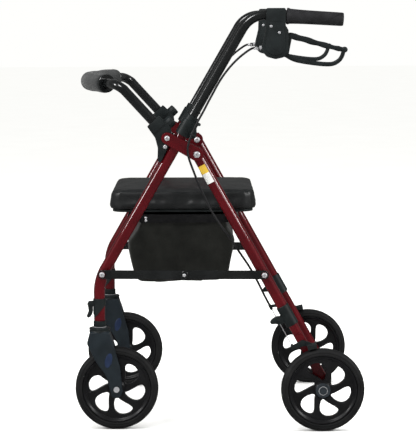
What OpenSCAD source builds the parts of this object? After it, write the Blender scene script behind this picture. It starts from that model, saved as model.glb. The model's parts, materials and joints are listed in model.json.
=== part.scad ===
// Folding four-wheeled walker (rollator) with a padded seat, loop brakes and height-adjustable legs.
// Frame: X across the walker, Y along it with the swivel wheels at -Y, Z up from the floor.
// Every side part is drawn on the +X side and mirrored for the other.

/* [Wheels] */
// Diameter of all four wheels
wheel_d = 190; // [186:1:194]
// Width of a tyre
tyre_w = 30; // [26:1:32]
// Distance between the front and the rear axles
wheelbase = 469; // [465:1:473]
// Distance between the middles of the rear wheels
rear_track = 560; // [558:1:580]
// How far a front wheel trails behind its swivel axis
caster_trail = 38; // [34:1:42]

/* [Frame] */
// Outer diameter of the legs and crossbars
leg_d = 25.4; // [25:0.1:25.6]
// Outer diameter of the tubes that slide inside the legs, and of the handles
slider_d = 22; // [21:0.1:22.1]
// Distance between the middle planes of the two side frames
leg_track = 494; // [486:1:496]
// Height of the folding hinge
hinge_z = 630; // [628:1:632]
// Lean of the front legs from upright, in degrees
front_lean = 30; // [29.5:0.1:30.5]
// Lean of the rear legs from upright, in degrees
rear_lean = 29; // [28.8:0.1:29.2]
// Height of the two crossbars under the seat
crossbar_z = 476; // [474:1:478]

/* [Handles] */
// Height of the handle's corner, where its two straight stretches would meet
handle_z = 944; // [938:1:950]
// Downward slope of the grip, in degrees
grip_slope = 3.6; // [3:0.1:4]
// Length of a rubber grip
grip_l = 128; // [120:1:134]

/* [Seat and backrest] */
// Width of the seat pad
seat_w = 356; // [330:1:380]
// Thickness of the seat pad
pad_t = 45; // [38:1:50]
// Diameter of the foam roll on the backrest
foam_d = 43; // [38:1:46]

/* [Hidden] */

// Colours
red = [0.35, 0.02, 0.04];
black = [0.05, 0.05, 0.06];
plastic = [0.09, 0.10, 0.11];
rubber = [0.04, 0.04, 0.04];
steel = [0.75, 0.75, 0.77];
fabric = [0.07, 0.08, 0.08];

// Clearances
gap = 0.3;       // between parts that slide past each other
running = 0.05;  // radial, between a shaft and its bore
wall = 1.4;      // of the legs
lap = 0.6;       // length by which a straight stretch of tube enters a bend
swell = 0.12;    // extra radius of a bend over the straight stretches it joins

// Places in the plane of a side frame are [y, z]
leg_x = leg_track / 2;
leg_r = leg_d / 2;
slider_r = slider_d / 2;
bore_r = slider_r + gap;
wheel_r = wheel_d / 2;
axle_y = wheelbase / 2;
swivel_y = -axle_y - caster_trail;
hinge = [-49, hinge_z];
hinge_anchor = [-87, hinge_z + 36];
front_up = [sin(front_lean), cos(front_lean)];
front_out = [cos(front_lean), -sin(front_lean)];
rear_down = [sin(rear_lean), -cos(rear_lean)];
rear_out = [-cos(rear_lean), -sin(rear_lean)];
knee = [swivel_y, hinge_anchor[1] - (hinge_anchor[0] - swivel_y) / tan(front_lean)];

function on_front_leg(s) = hinge_anchor + s * front_up;
function on_rear_leg(s) = hinge + s * rear_down;
function at_x(x, p) = [x, p[0], p[1]];
function unit(v) = v / norm(v);

front_leg_top = 46;
front_leg_foot = 264;
rear_leg_end = 447;
front_bar = [hinge_anchor[0] - (hinge_anchor[1] - crossbar_z) * tan(front_lean), crossbar_z];
rear_bar = [hinge[0] + (hinge[1] - crossbar_z) * tan(rear_lean), crossbar_z];

// Side plates of the folding hinge
plate_t = 4;
plate_gap = leg_r + gap;
socket_bolt = [-116, hinge_z + 37];
bolt_r = 4;
hinge_bolt_r = 5;
plate_pad = hinge_anchor + [-6, -10.4];

// Folding side links
link_t = 3;
link_h = 20;
link_front_pivot = [-265, 359];
link_middle = [-79, 357];
link_rear_pivot = [on_rear_leg(313)[0], 356];
link_inner_x = leg_x + leg_r + 1.3;
stud_r = 4;
link_outer_x = link_inner_x + link_t + 0.5;

// Handles and brakes
handle_corner = hinge_anchor + (handle_z - hinge_anchor[1]) / front_up[1] * front_up;
grip_along = [cos(grip_slope), -sin(grip_slope)];
grip_start = 80;
handle_foot = -54;
lever_pivot = [128, 866];
brake_pivot = on_rear_leg(493);
brake_pull = [167, 188];

// Backrest
tube_along = unit([0.6756, -0.7373]);
tube_across = [-tube_along[1], tube_along[0]];
socket_mouth = [-147, 704];
socket_depth = 36;
back_z = 788;
back_arc_r = 425;
back_half = 196;
back_front_y = -302;
back_end = [back_half, back_front_y + back_arc_r - sqrt(back_arc_r ^ 2 - back_half ^ 2), back_z];

// ---------------------------------------------------------------- helpers

// Side 1 leaves the children on the +X side, side -1 mirrors them to the -X side
module on_side(side) {
    mirror([side < 0 ? 1 : 0, 0, 0]) children();
}

// A flat plate: an outline in [y, z], from x0 to x1
module slab(outline, x0, x1) {
    translate([x0, 0, 0]) rotate([90, 0, 90]) linear_extrude(x1 - x0) polygon(outline);
}

// A round bar along X through [y, z]
module pin(p, r, x0, x1) {
    translate([x0, p[0], p[1]]) rotate([0, 90, 0]) cylinder(h = x1 - x0, r = r, $fn = 48);
}

// Moves +Z of the children to direction z and +X to direction x, at point o
module place(o, x, z) {
    y = cross(z, x);
    multmatrix([
        [x.x, y.x, z.x, o.x],
        [x.y, y.y, z.y, o.y],
        [x.z, y.z, z.z, o.z],
        [0, 0, 0, 1],
    ]) children();
}

// Lays the children's +Z from a towards b, in a side frame's plane
module along(a, b, x = leg_x) {
    place(at_x(x, a), [1, 0, 0], at_x(0, unit(b - a))) children();
}

module rod(a, b, r) {
    d = unit(b - a);
    s = abs(d.z) < 0.9 ? [0, 0, 1] : [1, 0, 0];
    place(a, unit(cross(s, d)), d) cylinder(h = norm(b - a), r = r, $fn = 48);
}

function turn(p, i) = acos(unit(p[i] - p[i - 1]) * unit(p[i + 1] - p[i]));
function inside(p, i) = i > 0 && i < len(p) - 1;
function set_back(p, bend, i) = inside(p, i) ? bend[i] * tan(turn(p, i) / 2) - lap : 0;

// A round bar through the points p, each corner rounded to its radius in bend
module bent_rod(p, bend, r) {
    for (i = [0:len(p) - 2]) {
        d = unit(p[i + 1] - p[i]);
        rod(p[i] + d * set_back(p, bend, i), p[i + 1] - d * set_back(p, bend, i + 1), r);
    }
    for (i = [1:len(p) - 2]) {
        before = unit(p[i] - p[i - 1]);
        axis = unit(cross(before, unit(p[i + 1] - p[i])));
        inward = cross(axis, before);
        start = p[i] - before * bend[i] * tan(turn(p, i) / 2);
        place(start + inward * bend[i], -inward, axis)
            rotate_extrude(angle = turn(p, i), $fn = 96)
                translate([bend[i], 0]) circle(r = r + swell, $fn = 48);
    }
}

// Points of an arc about c from angle a0 to a1
function arc(c, r, a0, a1, n = 8) =
    [for (i = [0:n]) c + r * [cos(a0 + (a1 - a0) * i / n), sin(a0 + (a1 - a0) * i / n)]];

// Outline of a bar with round ends of radius ra about a and rb about b
function bar_outline(a, ra, b, rb) =
    let (d = b - a, t = atan2(d[1], d[0]), k = acos((ra - rb) / norm(d)))
    concat(arc(a, ra, t + k, t + 360 - k, 12), arc(b, rb, t - k, t + k, 12));

// Rounds the corners of an outline: each point is [u, v, radius]
function rounded(p, n = 5) = [
    for (i = [0:len(p) - 1])
        let (
            here = [p[i][0], p[i][1]],
            prev = p[(i + len(p) - 1) % len(p)],
            next = p[(i + 1) % len(p)],
            u = unit([prev[0], prev[1]] - here),
            w = unit([next[0], next[1]] - here),
            half = acos(max(-1, min(1, u * w))) / 2,
            r = p[i][2],
            centre = here + unit(u + w) * r / sin(half),
            a0 = atan2((here + u * r / tan(half) - centre)[1], (here + u * r / tan(half) - centre)[0]),
            a1 = atan2((here + w * r / tan(half) - centre)[1], (here + w * r / tan(half) - centre)[0]),
            sweep = a1 - a0 > 180 ? a1 - a0 - 360 : a1 - a0 < -180 ? a1 - a0 + 360 : a1 - a0
        )
        if (r > 0) each arc(centre, r, a0, a0 + sweep, n) else here
];

// A tube of radius r swept along points p, with n sides, as one closed solid
module swept_tube(p, r, n = 8) {
    last = len(p) - 1;
    tangent = [for (i = [0:last]) unit(p[min(i + 1, last)] - p[max(i - 1, 0)])];
    points = [
        for (i = [0:last])
            let (u = unit(cross(tangent[i], [1, 0.02, 0])), w = cross(tangent[i], u))
            for (k = [0:n - 1]) p[i] + r * (cos(360 * k / n) * u + sin(360 * k / n) * w)
    ];
    sides = [
        for (i = [0:last - 1]) for (k = [0:n - 1])
            [i * n + k, (i + 1) * n + k, (i + 1) * n + (k + 1) % n, i * n + (k + 1) % n]
    ];
    polyhedron(points, concat([[for (k = [0:n - 1]) k]], sides, [[for (k = [n - 1:-1:0]) last * n + k]]));
}

// ---------------------------------------------------------------- front frame

front_leg_path = [
    at_x(leg_x, [swivel_y, front_leg_foot]),
    at_x(leg_x, knee),
    at_x(leg_x, on_front_leg(front_leg_top)),
];
front_bore_path = [
    front_leg_path[0] - [0, 0, 1],
    front_leg_path[1],
    at_x(leg_x, on_front_leg(front_leg_top + 1)),
];
leg_bend = [0, 110, 0];

module front_leg(side) {
    color(red) on_side(side) {
        difference() {
            bent_rod(front_leg_path, leg_bend, leg_r);
            bent_rod(front_bore_path, leg_bend, bore_r);
        }
        link_stud(link_front_pivot, link_outer_x);
    }
}

// Stud on a leg that carries a side link, with a washer behind the link and the head outside it
module link_stud(p, link_x) {
    pin(p, stud_r, leg_x + leg_r - 0.8, link_x + link_t + 1);
    pin(p, 7, link_x + link_t + gap, link_x + link_t + 3);
    pin(p, 7, leg_x + leg_r - 0.4, link_x - gap);
}

// A hollow tube between the two side frames
module crossbar(p) {
    half = leg_x - leg_r;
    color(red) difference() {
        pin(p, slider_r, -half, half);
        pin(p, slider_r - wall, -half - 1, half + 1);
    }
}

module front_crossbar() {
    crossbar(front_bar);
}

hinge_plate_outline = bar_outline(socket_bolt, 13, hinge, 15);

// Two plates, one each side of the legs, with a pad on each where it meets the front leg
module hinge_plates(side) {
    color(red) on_side(side) {
        for (x = [leg_x + plate_gap, leg_x - plate_gap - plate_t]) difference() {
            slab(hinge_plate_outline, x, x + plate_t);
            pin(socket_bolt, bolt_r + running, x - 1, x + plate_t + 1);
            pin(hinge, hinge_bolt_r + running, x - 1, x + plate_t + 1);
        }
        pin(plate_pad, 9, leg_x + leg_r, leg_x + plate_gap + 1);
        pin(plate_pad, 9, leg_x - plate_gap - 1, leg_x - leg_r);
    }
}

// Bolt through both plates, with a head on the outside and a nut on the inside
module frame_bolt(p, r) {
    half = plate_gap + plate_t;
    pin(p, r, leg_x - half - 4, leg_x + half + 1);
    pin(p, r + 3.5, leg_x + half, leg_x + half + 3.5);
    pin(p, r + 3.5, leg_x - half - 5, leg_x - half);
}

module hinge_bolts() {
    color(steel) for (side = [-1, 1]) on_side(side) {
        frame_bolt(socket_bolt, bolt_r);
        frame_bolt(hinge, hinge_bolt_r);
    }
}

// Clamp collar round the end of a leg, drawn along +Z with the leg's end at z = 0 and the lever on +Y
clamp_grip = 38;
clamp_neck = 12;
clamp_r = 17;
lever_axis = [23, 26];

module clamp_collar() {
    difference() {
        union() {
            translate([0, 0, -clamp_grip]) cylinder(h = clamp_grip, r = clamp_r, $fn = 64);
            cylinder(h = clamp_neck, r = clamp_r - 2.5, $fn = 64);
            translate([-8, 10, -lever_axis[1] - 9]) cube([4, 17, 18]);
            translate([4, 10, -lever_axis[1] - 9]) cube([4, 17, 18]);
        }
        translate([0, 0, -clamp_grip - 1]) cylinder(h = clamp_grip + 1.2, r = leg_r + running, $fn = 64);
        cylinder(h = clamp_neck + 1, r = bore_r, $fn = 64);
    }
    translate([-8, lever_axis[0], -lever_axis[1]]) rotate([0, 90, 0]) cylinder(h = 16, r = 2, $fn = 32);
}

// Cam lever of a clamp: its hub turns on the collar's pin and its paddle lies along the collar
module clamp_lever(reach, tip) {
    difference() {
        union() {
            translate([-3.7, lever_axis[0], -lever_axis[1]]) rotate([0, 90, 0])
                cylinder(h = 7.4, r = 5, $fn = 32);
            rotate([90, 0, 90]) translate([0, 0, -3.7]) linear_extrude(7.4)
                polygon(bar_outline([lever_axis[0] + 1, -lever_axis[1]], 3.4, [tip, reach - 8], 3));
            rotate([90, 0, 90]) translate([0, 0, -9]) linear_extrude(18)
                polygon(bar_outline([tip - 1, reach - 12], 3, [tip + 2, reach], 3.4));
        }
        translate([-5, lever_axis[0], -lever_axis[1]]) rotate([0, 90, 0])
            cylinder(h = 10, r = 2 + running, $fn = 32);
    }
}

module at_handle_clamp() {
    place(at_x(leg_x, on_front_leg(front_leg_top)), [1, 0, 0], at_x(0, front_up)) children();
}

module at_front_clamp() {
    place(at_x(leg_x, [swivel_y, front_leg_foot]), [1, 0, 0], [0, 0, -1]) children();
}

module at_rear_clamp() {
    place(at_x(leg_x, on_rear_leg(rear_leg_end)), [1, 0, 0], at_x(0, rear_down)) children();
}

module frame_clamps() {
    color(plastic) for (side = [-1, 1]) on_side(side) {
        at_handle_clamp() clamp_collar();
        at_front_clamp() clamp_collar();
    }
}

module handle_lever(side) {
    color(plastic) on_side(side) at_handle_clamp() clamp_lever(4, 24);
}

module front_clamp_lever(side) {
    color(plastic) on_side(side) at_front_clamp() clamp_lever(2, 28);
}

module rear_clamp_lever(side) {
    color(plastic) on_side(side) at_rear_clamp() clamp_lever(-18, 42);
}

// ---------------------------------------------------------------- backrest

socket_outline = rounded([
    [-160, 692, 2], [-134, 716, 2], [-108, 692, 4], [-104, 664, 6],
    [-117, 640, 10], [-131, 612, 3], [-138, 615, 3], [-137, 645, 10], [-143, 668, 10],
]);
knob_seat = socket_mouth + 26 * tube_along;
knob_lift = 22;

module backrest_sockets() {
    color(plastic) for (side = [-1, 1]) on_side(side) difference() {
        union() {
            slab(socket_outline, leg_x - leg_r, leg_x + leg_r);
            along(socket_mouth + 21 * tube_along, socket_mouth) translate([-16, -17, 0]) cube([32, 34, 22]);
        }
        along(socket_mouth + socket_depth * tube_along, socket_mouth)
            cylinder(h = socket_depth + 5, r = slider_r + running, $fn = 64);
        along(knob_seat, knob_seat + tube_across) cylinder(h = 40, r = 3.5 + running, $fn = 32);
        pin(socket_bolt, bolt_r + running, 0, 2 * leg_x);
        front_leg_space();
    }
}

// The room that a front leg takes, so that the sockets end clear of it
module front_leg_space() {
    along(on_front_leg(-200), on_front_leg(100)) cylinder(h = 300, r = leg_r + 0.1, $fn = 64);
}

module backrest_knob(side) {
    color(plastic) on_side(side) along(knob_seat, knob_seat + tube_across) {
        translate([0, 0, slider_r + 0.2]) cylinder(h = 16, r = 3.5, $fn = 32);
        translate([0, 0, knob_lift]) cylinder(h = 8, r = 6.5, $fn = 32);
        translate([-11, -3, knob_lift + 0.5]) cube([22, 6, 12]);
    }
}

// The bar's path: an arc across the front, then down each side into its socket
back_turn = asin(back_half / back_arc_r);
back_corner = [leg_x, back_end.y + (leg_x - back_half) * tan(back_turn), back_z];
back_knee = [leg_x, socket_mouth[0] - 66, socket_mouth[1] + 66 * 0.7373 / 0.6756];
socket_floor = socket_mouth + (socket_depth - 0.5) * tube_along;

module backrest_side(r, foot) {
    bent_rod(
        [back_end - lap * unit(back_corner - back_end), back_corner, back_knee, at_x(leg_x, foot)],
        [0, 32, 60, 0],
        r
    );
}

module backrest_bar(r, foot) {
    backrest_side(r, foot);
    mirror([1, 0, 0]) backrest_side(r, foot);
    back_arc(r + swell);
}

module backrest_tube() {
    color(black) difference() {
        backrest_bar(slider_r, socket_floor);
        backrest_bar(slider_r - wall, socket_floor + tube_along);
    }
}

// A stretch of round bar along the front arc of the backrest
module back_arc(r) {
    translate([0, back_front_y + back_arc_r, back_z]) rotate([0, 0, -90 - back_turn])
        rotate_extrude(angle = 2 * back_turn, $fn = 128) translate([back_arc_r, 0]) circle(r = r, $fn = 64);
}

module backrest_foam() {
    color(rubber) difference() {
        back_arc(foam_d / 2);
        back_arc(slider_r + swell + 0.02);
    }
}

// ---------------------------------------------------------------- rear frame

module rear_leg(side) {
    color(red) on_side(side) {
        difference() {
            along(on_rear_leg(-13), on_rear_leg(0)) cylinder(h = rear_leg_end + 13, r = leg_r, $fn = 64);
            along(on_rear_leg(-14), on_rear_leg(0)) cylinder(h = rear_leg_end + 15, r = bore_r, $fn = 64);
            pin(hinge, hinge_bolt_r + running, 0, 2 * leg_x);
        }
        link_stud(link_rear_pivot, link_inner_x);
    }
}

module rear_crossbar() {
    crossbar(rear_bar);
}

module rear_leg_clamps() {
    color(plastic) for (side = [-1, 1]) on_side(side) at_rear_clamp() clamp_collar();
}

// One bar of a side link, from its stud on a leg to the joint between the two bars
module link_half(pivot, end, x) {
    difference() {
        slab(bar_outline(pivot, link_h / 2, end, link_h / 2), x, x + link_t);
        pin(pivot, stud_r + running, x - 1, x + link_t + 1);
    }
}

module link_front(side) {
    color(black) on_side(side) {
        link_half(link_front_pivot, link_middle, link_outer_x);
        pin(link_middle, 8, link_outer_x + 1, link_outer_x + link_t + 2.5);
    }
}

module link_rear(side) {
    color(black) on_side(side) link_half(link_rear_pivot, link_middle, link_inner_x);
}

// ---------------------------------------------------------------- casters and front wheels

stem_top = front_leg_foot + 14;
stem_r = 6;
cup_z = 236;
cup_h = 14;

module front_extension(side) {
    color(red) on_side(side) translate([leg_x, swivel_y, 0]) {
        difference() {
            translate([0, 0, cup_z + cup_h]) cylinder(h = 64, r = slider_r, $fn = 64);
            translate([0, 0, cup_z]) cylinder(h = 90, r = slider_r - 1.5, $fn = 64);
        }
        color(plastic) difference() {
            union() {
                translate([0, 0, cup_z]) cylinder(h = cup_h, r = slider_r + 1.2, $fn = 64);
                translate([0, 0, cup_z + cup_h]) cylinder(h = 30, r = slider_r - 1.5, $fn = 64);
            }
            translate([0, 0, cup_z - 1]) cylinder(h = stem_top - cup_z + 2, r = stem_r + running, $fn = 48);
        }
    }
}

fork_top = 235;
fork_in = tyre_w / 2 + 3;
fork_out = fork_in + 6;
front_axle = [-axle_y, wheel_r];
rear_axle = [axle_y, wheel_r];
fork_outline = rounded([
    [swivel_y - 22, fork_top - 8, 2], [swivel_y + 22, fork_top - 8, 2], [swivel_y + 31, fork_top - 34, 12],
    [-axle_y + 9, wheel_r + 50, 30], [-axle_y + 14, wheel_r - 6, 12], [-axle_y + 6, wheel_r - 21, 8],
    [-axle_y - 11, wheel_r - 20, 8], [-axle_y - 24, wheel_r + 32, 30], [-axle_y - 46, wheel_r + 62, 20],
    [swivel_y - 29, fork_top - 34, 8],
], 4);

module caster_fork(side) {
    color(plastic) on_side(side) difference() {
        union() {
            slab(fork_outline, leg_x - fork_out, leg_x + fork_out);
            translate([leg_x, swivel_y, fork_top - 9]) cylinder(h = 9, r = 22.5, $fn = 64);
            translate([leg_x, swivel_y, fork_top - 1])
                cylinder(h = stem_top - fork_top, r = stem_r, $fn = 48);
        }
        pin(front_axle, wheel_r + 5, leg_x - fork_in, leg_x + fork_in);
        pin(front_axle, 4 + running, leg_x - 40, leg_x + 40);
    }
}

module front_axle_bolt(side) {
    color(steel) on_side(side) {
        pin(front_axle, 4, leg_x - fork_out - 3, leg_x + fork_out + 2);
        pin(front_axle, 6.5, leg_x + fork_out, leg_x + fork_out + 3);
        pin(front_axle, 6.5, leg_x - fork_out - 4, leg_x - fork_out);
    }
}

// ---------------------------------------------------------------- wheels

rim_r = wheel_r - 17;
window_r = 68.5;
hub_r = 20;
spokes = 6;
spoke_w = 10;
spoke_twist = 34;

// Angle of a spoke's middle line at radius r, and of its two edges
function spoke_angle(r) = spoke_twist * ((r - hub_r) / (window_r - hub_r)) ^ 2;
function spoke_edge(r, s) = spoke_angle(r) + s * asin(spoke_w * (0.5 + 0.35 * abs(r - 42) / 26) / r);

// One window between two spokes: out along one spoke, round inside the rim, and back along the next spoke
window_in = hub_r + 6;
window_steps = 7;
window_corner = 5;
window_start = spoke_edge(window_r, 1) + window_corner;
window_end = 360 / spokes + spoke_edge(window_r, -1) - window_corner;
function window_radius(i) = window_in + (window_r - 4 - window_in) * i / window_steps;
function on_circle(r, a) = r * [cos(a), sin(a)];
window_outline = concat(
    [for (i = [0:window_steps]) on_circle(window_radius(i), spoke_edge(window_radius(i), 1))],
    [for (i = [0:6]) on_circle(window_r, window_start + (window_end - window_start) * i / 6)],
    [
        for (i = [window_steps:-1:0])
            on_circle(window_radius(i), 360 / spokes + spoke_edge(window_radius(i), -1))
    ]
);

// A wheel's moulded centre, with its axle along X at x = 0
module rim(bore) {
    rotate([90, 0, 90]) difference() {
        rotate_extrude($fn = 128) polygon([
            [0, -hub_half], [hub_r, -hub_half], [hub_r, -6], [window_r - 2, -6], [window_r + 2, -12],
            [rim_r, -12], [rim_r, 12], [window_r + 2, 12], [window_r - 2, 6], [hub_r, 6],
            [hub_r, hub_half], [0, hub_half],
        ]);
        translate([0, 0, -hub_half - 1]) cylinder(h = 2 * hub_half + 2, r = bore + running, $fn = 48);
        for (i = [0:spokes - 1])
            rotate(i * 360 / spokes) translate([0, 0, -20]) linear_extrude(40) polygon(window_outline);
    }
}

hub_half = tyre_w / 2 - 1;
tyre_half = tyre_w / 2;

module tyre() {
    rotate([0, 90, 0]) rotate_extrude($fn = 128) polygon([
        [rim_r + 0.02, -tyre_half + 2], [rim_r + 4, -tyre_half], [wheel_r - 4, -tyre_half + 1.5],
        [wheel_r - 1.2, -tyre_half + 4.5], [wheel_r, -tyre_half + 9], [wheel_r, tyre_half - 9],
        [wheel_r - 1.2, tyre_half - 4.5], [wheel_r - 4, tyre_half - 1.5], [rim_r + 4, tyre_half],
        [rim_r + 0.02, tyre_half - 2],
    ]);
}

module at_front_wheel() {
    translate(at_x(leg_x, front_axle)) children();
}

module at_rear_wheel() {
    translate(at_x(rear_track / 2, rear_axle)) children();
}

module front_rim(side) {
    color(black) on_side(side) at_front_wheel() rim(4);
}

module front_tyre(side) {
    color(rubber) on_side(side) at_front_wheel() tyre();
}

module rear_rim(side) {
    color(black) on_side(side) at_rear_wheel() rim(6);
}

module rear_tyre(side) {
    color(rubber) on_side(side) at_rear_wheel() tyre();
}

// ---------------------------------------------------------------- rear extensions, axles and brakes

extension_top = 345;
extension_end = 628;
bracket_x = leg_x + slider_r;
bracket_t = 3.5;
bracket_outline = rounded([
    concat(on_rear_leg(470) + 9 * rear_out, [4]), concat(on_rear_leg(470) - 9 * rear_out, [4]),
    concat(on_rear_leg(625) - 9 * rear_out, [6]), [axle_y + 12, wheel_r - 15, 10],
    [axle_y - 14, wheel_r - 13, 10], concat(on_rear_leg(560) + 12 * rear_out, [20]),
]);

module rear_extension(side) {
    color(red) on_side(side) {
        difference() {
            along(on_rear_leg(extension_top), on_rear_leg(extension_end))
                cylinder(h = extension_end - extension_top, r = slider_r, $fn = 64);
            along(on_rear_leg(extension_top - 1), on_rear_leg(extension_end))
                cylinder(h = extension_end - extension_top + 2, r = slider_r - 1.5, $fn = 64);
            pin(brake_pivot, 3 + running, leg_x, leg_x + 40);
        }
        difference() {
            slab(bracket_outline, bracket_x - 1, bracket_x + bracket_t);
            pin(brake_pivot, 3 + running, leg_x, leg_x + 40);
        }
    }
}

axle_in = bracket_x + bracket_t;
axle_out = rear_track / 2 + hub_half;

module rear_axle_bolt(side) {
    color(steel) on_side(side) {
        pin(rear_axle, 6, axle_in, axle_out + 1);
        pin(rear_axle, 10, axle_out + 0.5, axle_out + 4);
        pin(rear_axle, 9, axle_in, rear_track / 2 - hub_half - 0.2);
    }
}

// Rocker that the cable pulls up at its front end, with the shoe over the tyre at its rear end
arm_x = bracket_x + bracket_t + gap;
arm_t = 2.5;
shoe_angle = 104;
shoe_r = wheel_r + 2.5;
shoe_outline = concat(
    arc(rear_axle, shoe_r, shoe_angle + 6, shoe_angle - 6, 6),
    arc(rear_axle, shoe_r + 9, shoe_angle - 6, shoe_angle + 6, 6)
);
shoe_mount = rear_axle + (shoe_r + 6) * [cos(shoe_angle), sin(shoe_angle)];

module brake_arm(side) {
    color(black) on_side(side) {
        slab(bar_outline(brake_pivot, 7, brake_pull, 5), arm_x, arm_x + arm_t);
        slab(bar_outline(brake_pivot, 7, shoe_mount, 4), arm_x, arm_x + arm_t);
        slab(shoe_outline, arm_x, rear_track / 2 + tyre_half - 2);
        pin(brake_pivot, 3, leg_x + slider_r - 1, arm_x + arm_t + 1);
        pin(brake_pivot, 5.5, arm_x + arm_t - 0.5, arm_x + arm_t + 3);
        pin(brake_pull, 3.5, leg_x - 17, arm_x + 0.5);
    }
}

// ---------------------------------------------------------------- handles, grips and brake levers

function on_grip(s) = handle_corner + s * grip_along;
grip_end = grip_start + grip_l;

module handle_bar(foot, end, r) {
    path = [on_front_leg(foot), handle_corner, on_grip(end)];
    bent_rod([for (p = path) at_x(leg_x, p)], [0, 60, 0], r);
}

module handle_tube(side) {
    color(black) on_side(side) difference() {
        handle_bar(handle_foot, grip_end - 4, slider_r);
        handle_bar(handle_foot - 1, grip_end - 3, slider_r - wall);
    }
}

module grip(side) {
    color(rubber) on_side(side) along(on_grip(grip_start), on_grip(grip_end)) rotate_extrude($fn = 64)
        polygon([
            [slider_r + running, 0], [18, 0], [18.5, 4], [17.5, 12], [16, 26], [15.5, grip_l * 0.6],
            [15, grip_l - 5], [13, grip_l], [0, grip_l], [0, grip_l - 3.5],
            [slider_r + running, grip_l - 3.5],
        ]);
}

housing_half = 17;
cavity_half = 8;
housing_outline = rounded([
    [108, 957, 4], [151, 957, 4], [150.8, 918, 3], [157, 908, 6], [157, 860, 8], [146, 847, 8],
    [128, 843, 12], [109, 848, 10], [98, 862, 6], [99, 876, 8], [106, 905, 15], [107, 925, 10],
]);
cavity_outline = [[116, 914], [170, 914], [170, 835], [140, 835], [112, 856]];

module brake_housing(side) {
    color(plastic) on_side(side) difference() {
        union() {
            difference() {
                slab(housing_outline, leg_x - housing_half, leg_x + housing_half);
                slab(cavity_outline, leg_x - cavity_half, leg_x + cavity_half);
            }
            pin(lever_pivot, 3, leg_x - cavity_half - 1, leg_x + cavity_half + 1);
            along([100, 868], [86, 868]) cylinder(h = 14, r = 4.5, $fn = 32);
        }
        along(on_grip(0), on_grip(grip_start)) cylinder(h = 200, r = slider_r + running, $fn = 64);
    }
}

// Loop lever: a root on the pivot, an upper bar, and a lower bar that closes the loop at the tip
lever_root = rounded([
    [118, 862, 3], [120, 878, 3], [146, 892, 4], [160, 902, 3], [170, 899, 3], [166, 872, 10],
    [166, 850, 3], [160, 846, 3], [140, 850, 6],
]);
lever_upper = [[162, 897], [232, 875], [276, 863]];
lever_lower = [[156, 850], [176, 840], [238, 831], [260, 832], [276, 845], [280, 860]];
lever_tip = [284, 863];
lever_half = 6;
bar_half = 5;

module brake_lever(side) {
    color(plastic) on_side(side) difference() {
        union() {
            slab(lever_root, leg_x - lever_half, leg_x + lever_half);
            lever_bars(lever_upper, 6.5);
            lever_bars(lever_lower, 5.5);
            pin(lever_tip, 6.5, leg_x - lever_half - 1, leg_x + lever_half + 1);
        }
        pin(lever_pivot, 3 + running, leg_x - 20, leg_x + 20);
    }
}

// Bars joined end to end through the points of a path in a side frame's plane, each thinner than the last
module lever_bars(p, r) {
    for (i = [0:len(p) - 2])
        slab(bar_outline(p[i], r - 0.3 * i, p[i + 1], r - 0.3 * (i + 1)), leg_x - bar_half, leg_x + bar_half);
}

// ---------------------------------------------------------------- brake cables

casing_r = 2.5;
wire_r = 1;
cable_route = [
    [247, 85, 868], [248, 76, 867], [250, 64, 860], [252, 46, 846], [254, 28, 828], [255, 12, 808],
    [256, -1, 788], [258, -12, 768], [260, -23, 748], [263, -34, 727], [267, -46, 706], [270, -57, 684],
    [271, -66, 662], [271, -70, 642], [270, -67, 622], [267, -58, 596], [263, -45, 562], [258, -31, 531],
    [254, -16, 500], [250, 0, 474], [247, 16, 452], [243, 32, 428], [240, 51, 399], [237, 70, 370],
    [235, 88, 337], [233, 104, 304], [233, 117, 279],
];
wire_start = cable_route[len(cable_route) - 1];
wire_end = brake_pull - 8 * rear_down;

module brake_cable(side) {
    color(rubber) on_side(side) {
        swept_tube(cable_route, casing_r);
        rod(wire_start - at_x(0, rear_down), [wire_start.x, wire_end[0], wire_end[1]], wire_r);
    }
}

// ---------------------------------------------------------------- seat and bag

seat_front = -253;
seat_back = 88;
board_z = crossbar_z + 14.5;
board_t = 6;
pad_z = board_z + board_t;

function seat_outline(inset, r) = rounded([
    [-seat_w / 2 + inset, seat_front + inset, r], [seat_w / 2 - inset, seat_front + inset, r],
    [seat_w / 2 - inset, seat_back - inset, r], [-seat_w / 2 + inset, seat_back - inset, r],
], 8);

module seat_pad() {
    color(black) translate([0, 0, pad_z]) linear_extrude(pad_t) polygon(seat_outline(0, 36));
}

clip_x = 110;
clip_w = 30;
rest_h = board_z - crossbar_z - slider_r - gap;

// Board with two clips that turn on the front crossbar and two rubber rests over the rear one
module seat_board() {
    color(black) {
        translate([0, 0, board_z]) linear_extrude(board_t - 0.02) polygon(seat_outline(8, 30));
        for (x = [-clip_x, clip_x]) {
            difference() {
                union() {
                    pin(front_bar, slider_r + 3.4, x - clip_w / 2, x + clip_w / 2);
                    translate([x - clip_w / 2, front_bar[0] - 12, crossbar_z])
                        cube([clip_w, 24, board_z - crossbar_z + 1]);
                }
                pin(front_bar, slider_r + running, x - clip_w, x + clip_w);
            }
            translate([x - clip_w / 2, rear_bar[0] - 12, board_z - rest_h]) cube([clip_w, 26, rest_h + 1]);
        }
    }
}

bag_half = 165;
bag_wall = 2;
bag_outline = rounded([
    [-180, 484, 0], [20, 484, 0], [22, 462, 6], [39, 424, 20], [30, 350, 14], [10, 327, 10],
    [-190, 325, 12], [-213, 420, 24], [-182, 464, 8],
]);
bag_inside = rounded([
    [-178, 486, 0], [18, 486, 0], [20, 462, 6], [37, 424, 18], [28, 351, 12], [9, 329, 8],
    [-188, 327, 10], [-211, 420, 22], [-180, 464, 8],
]);
loop_spans = [[-bag_half, -141], [-60, -20], [20, 60], [141, bag_half]];

// Open-topped bag that hangs by loops from the two crossbars
module bag() {
    color(fabric) {
        difference() {
            slab(bag_outline, -bag_half, bag_half);
            slab(bag_inside, bag_wall - bag_half, bag_half - bag_wall);
        }
        bag_loops(front_bar, 1);
        bag_loops(rear_bar, -1);
    }
}

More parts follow.
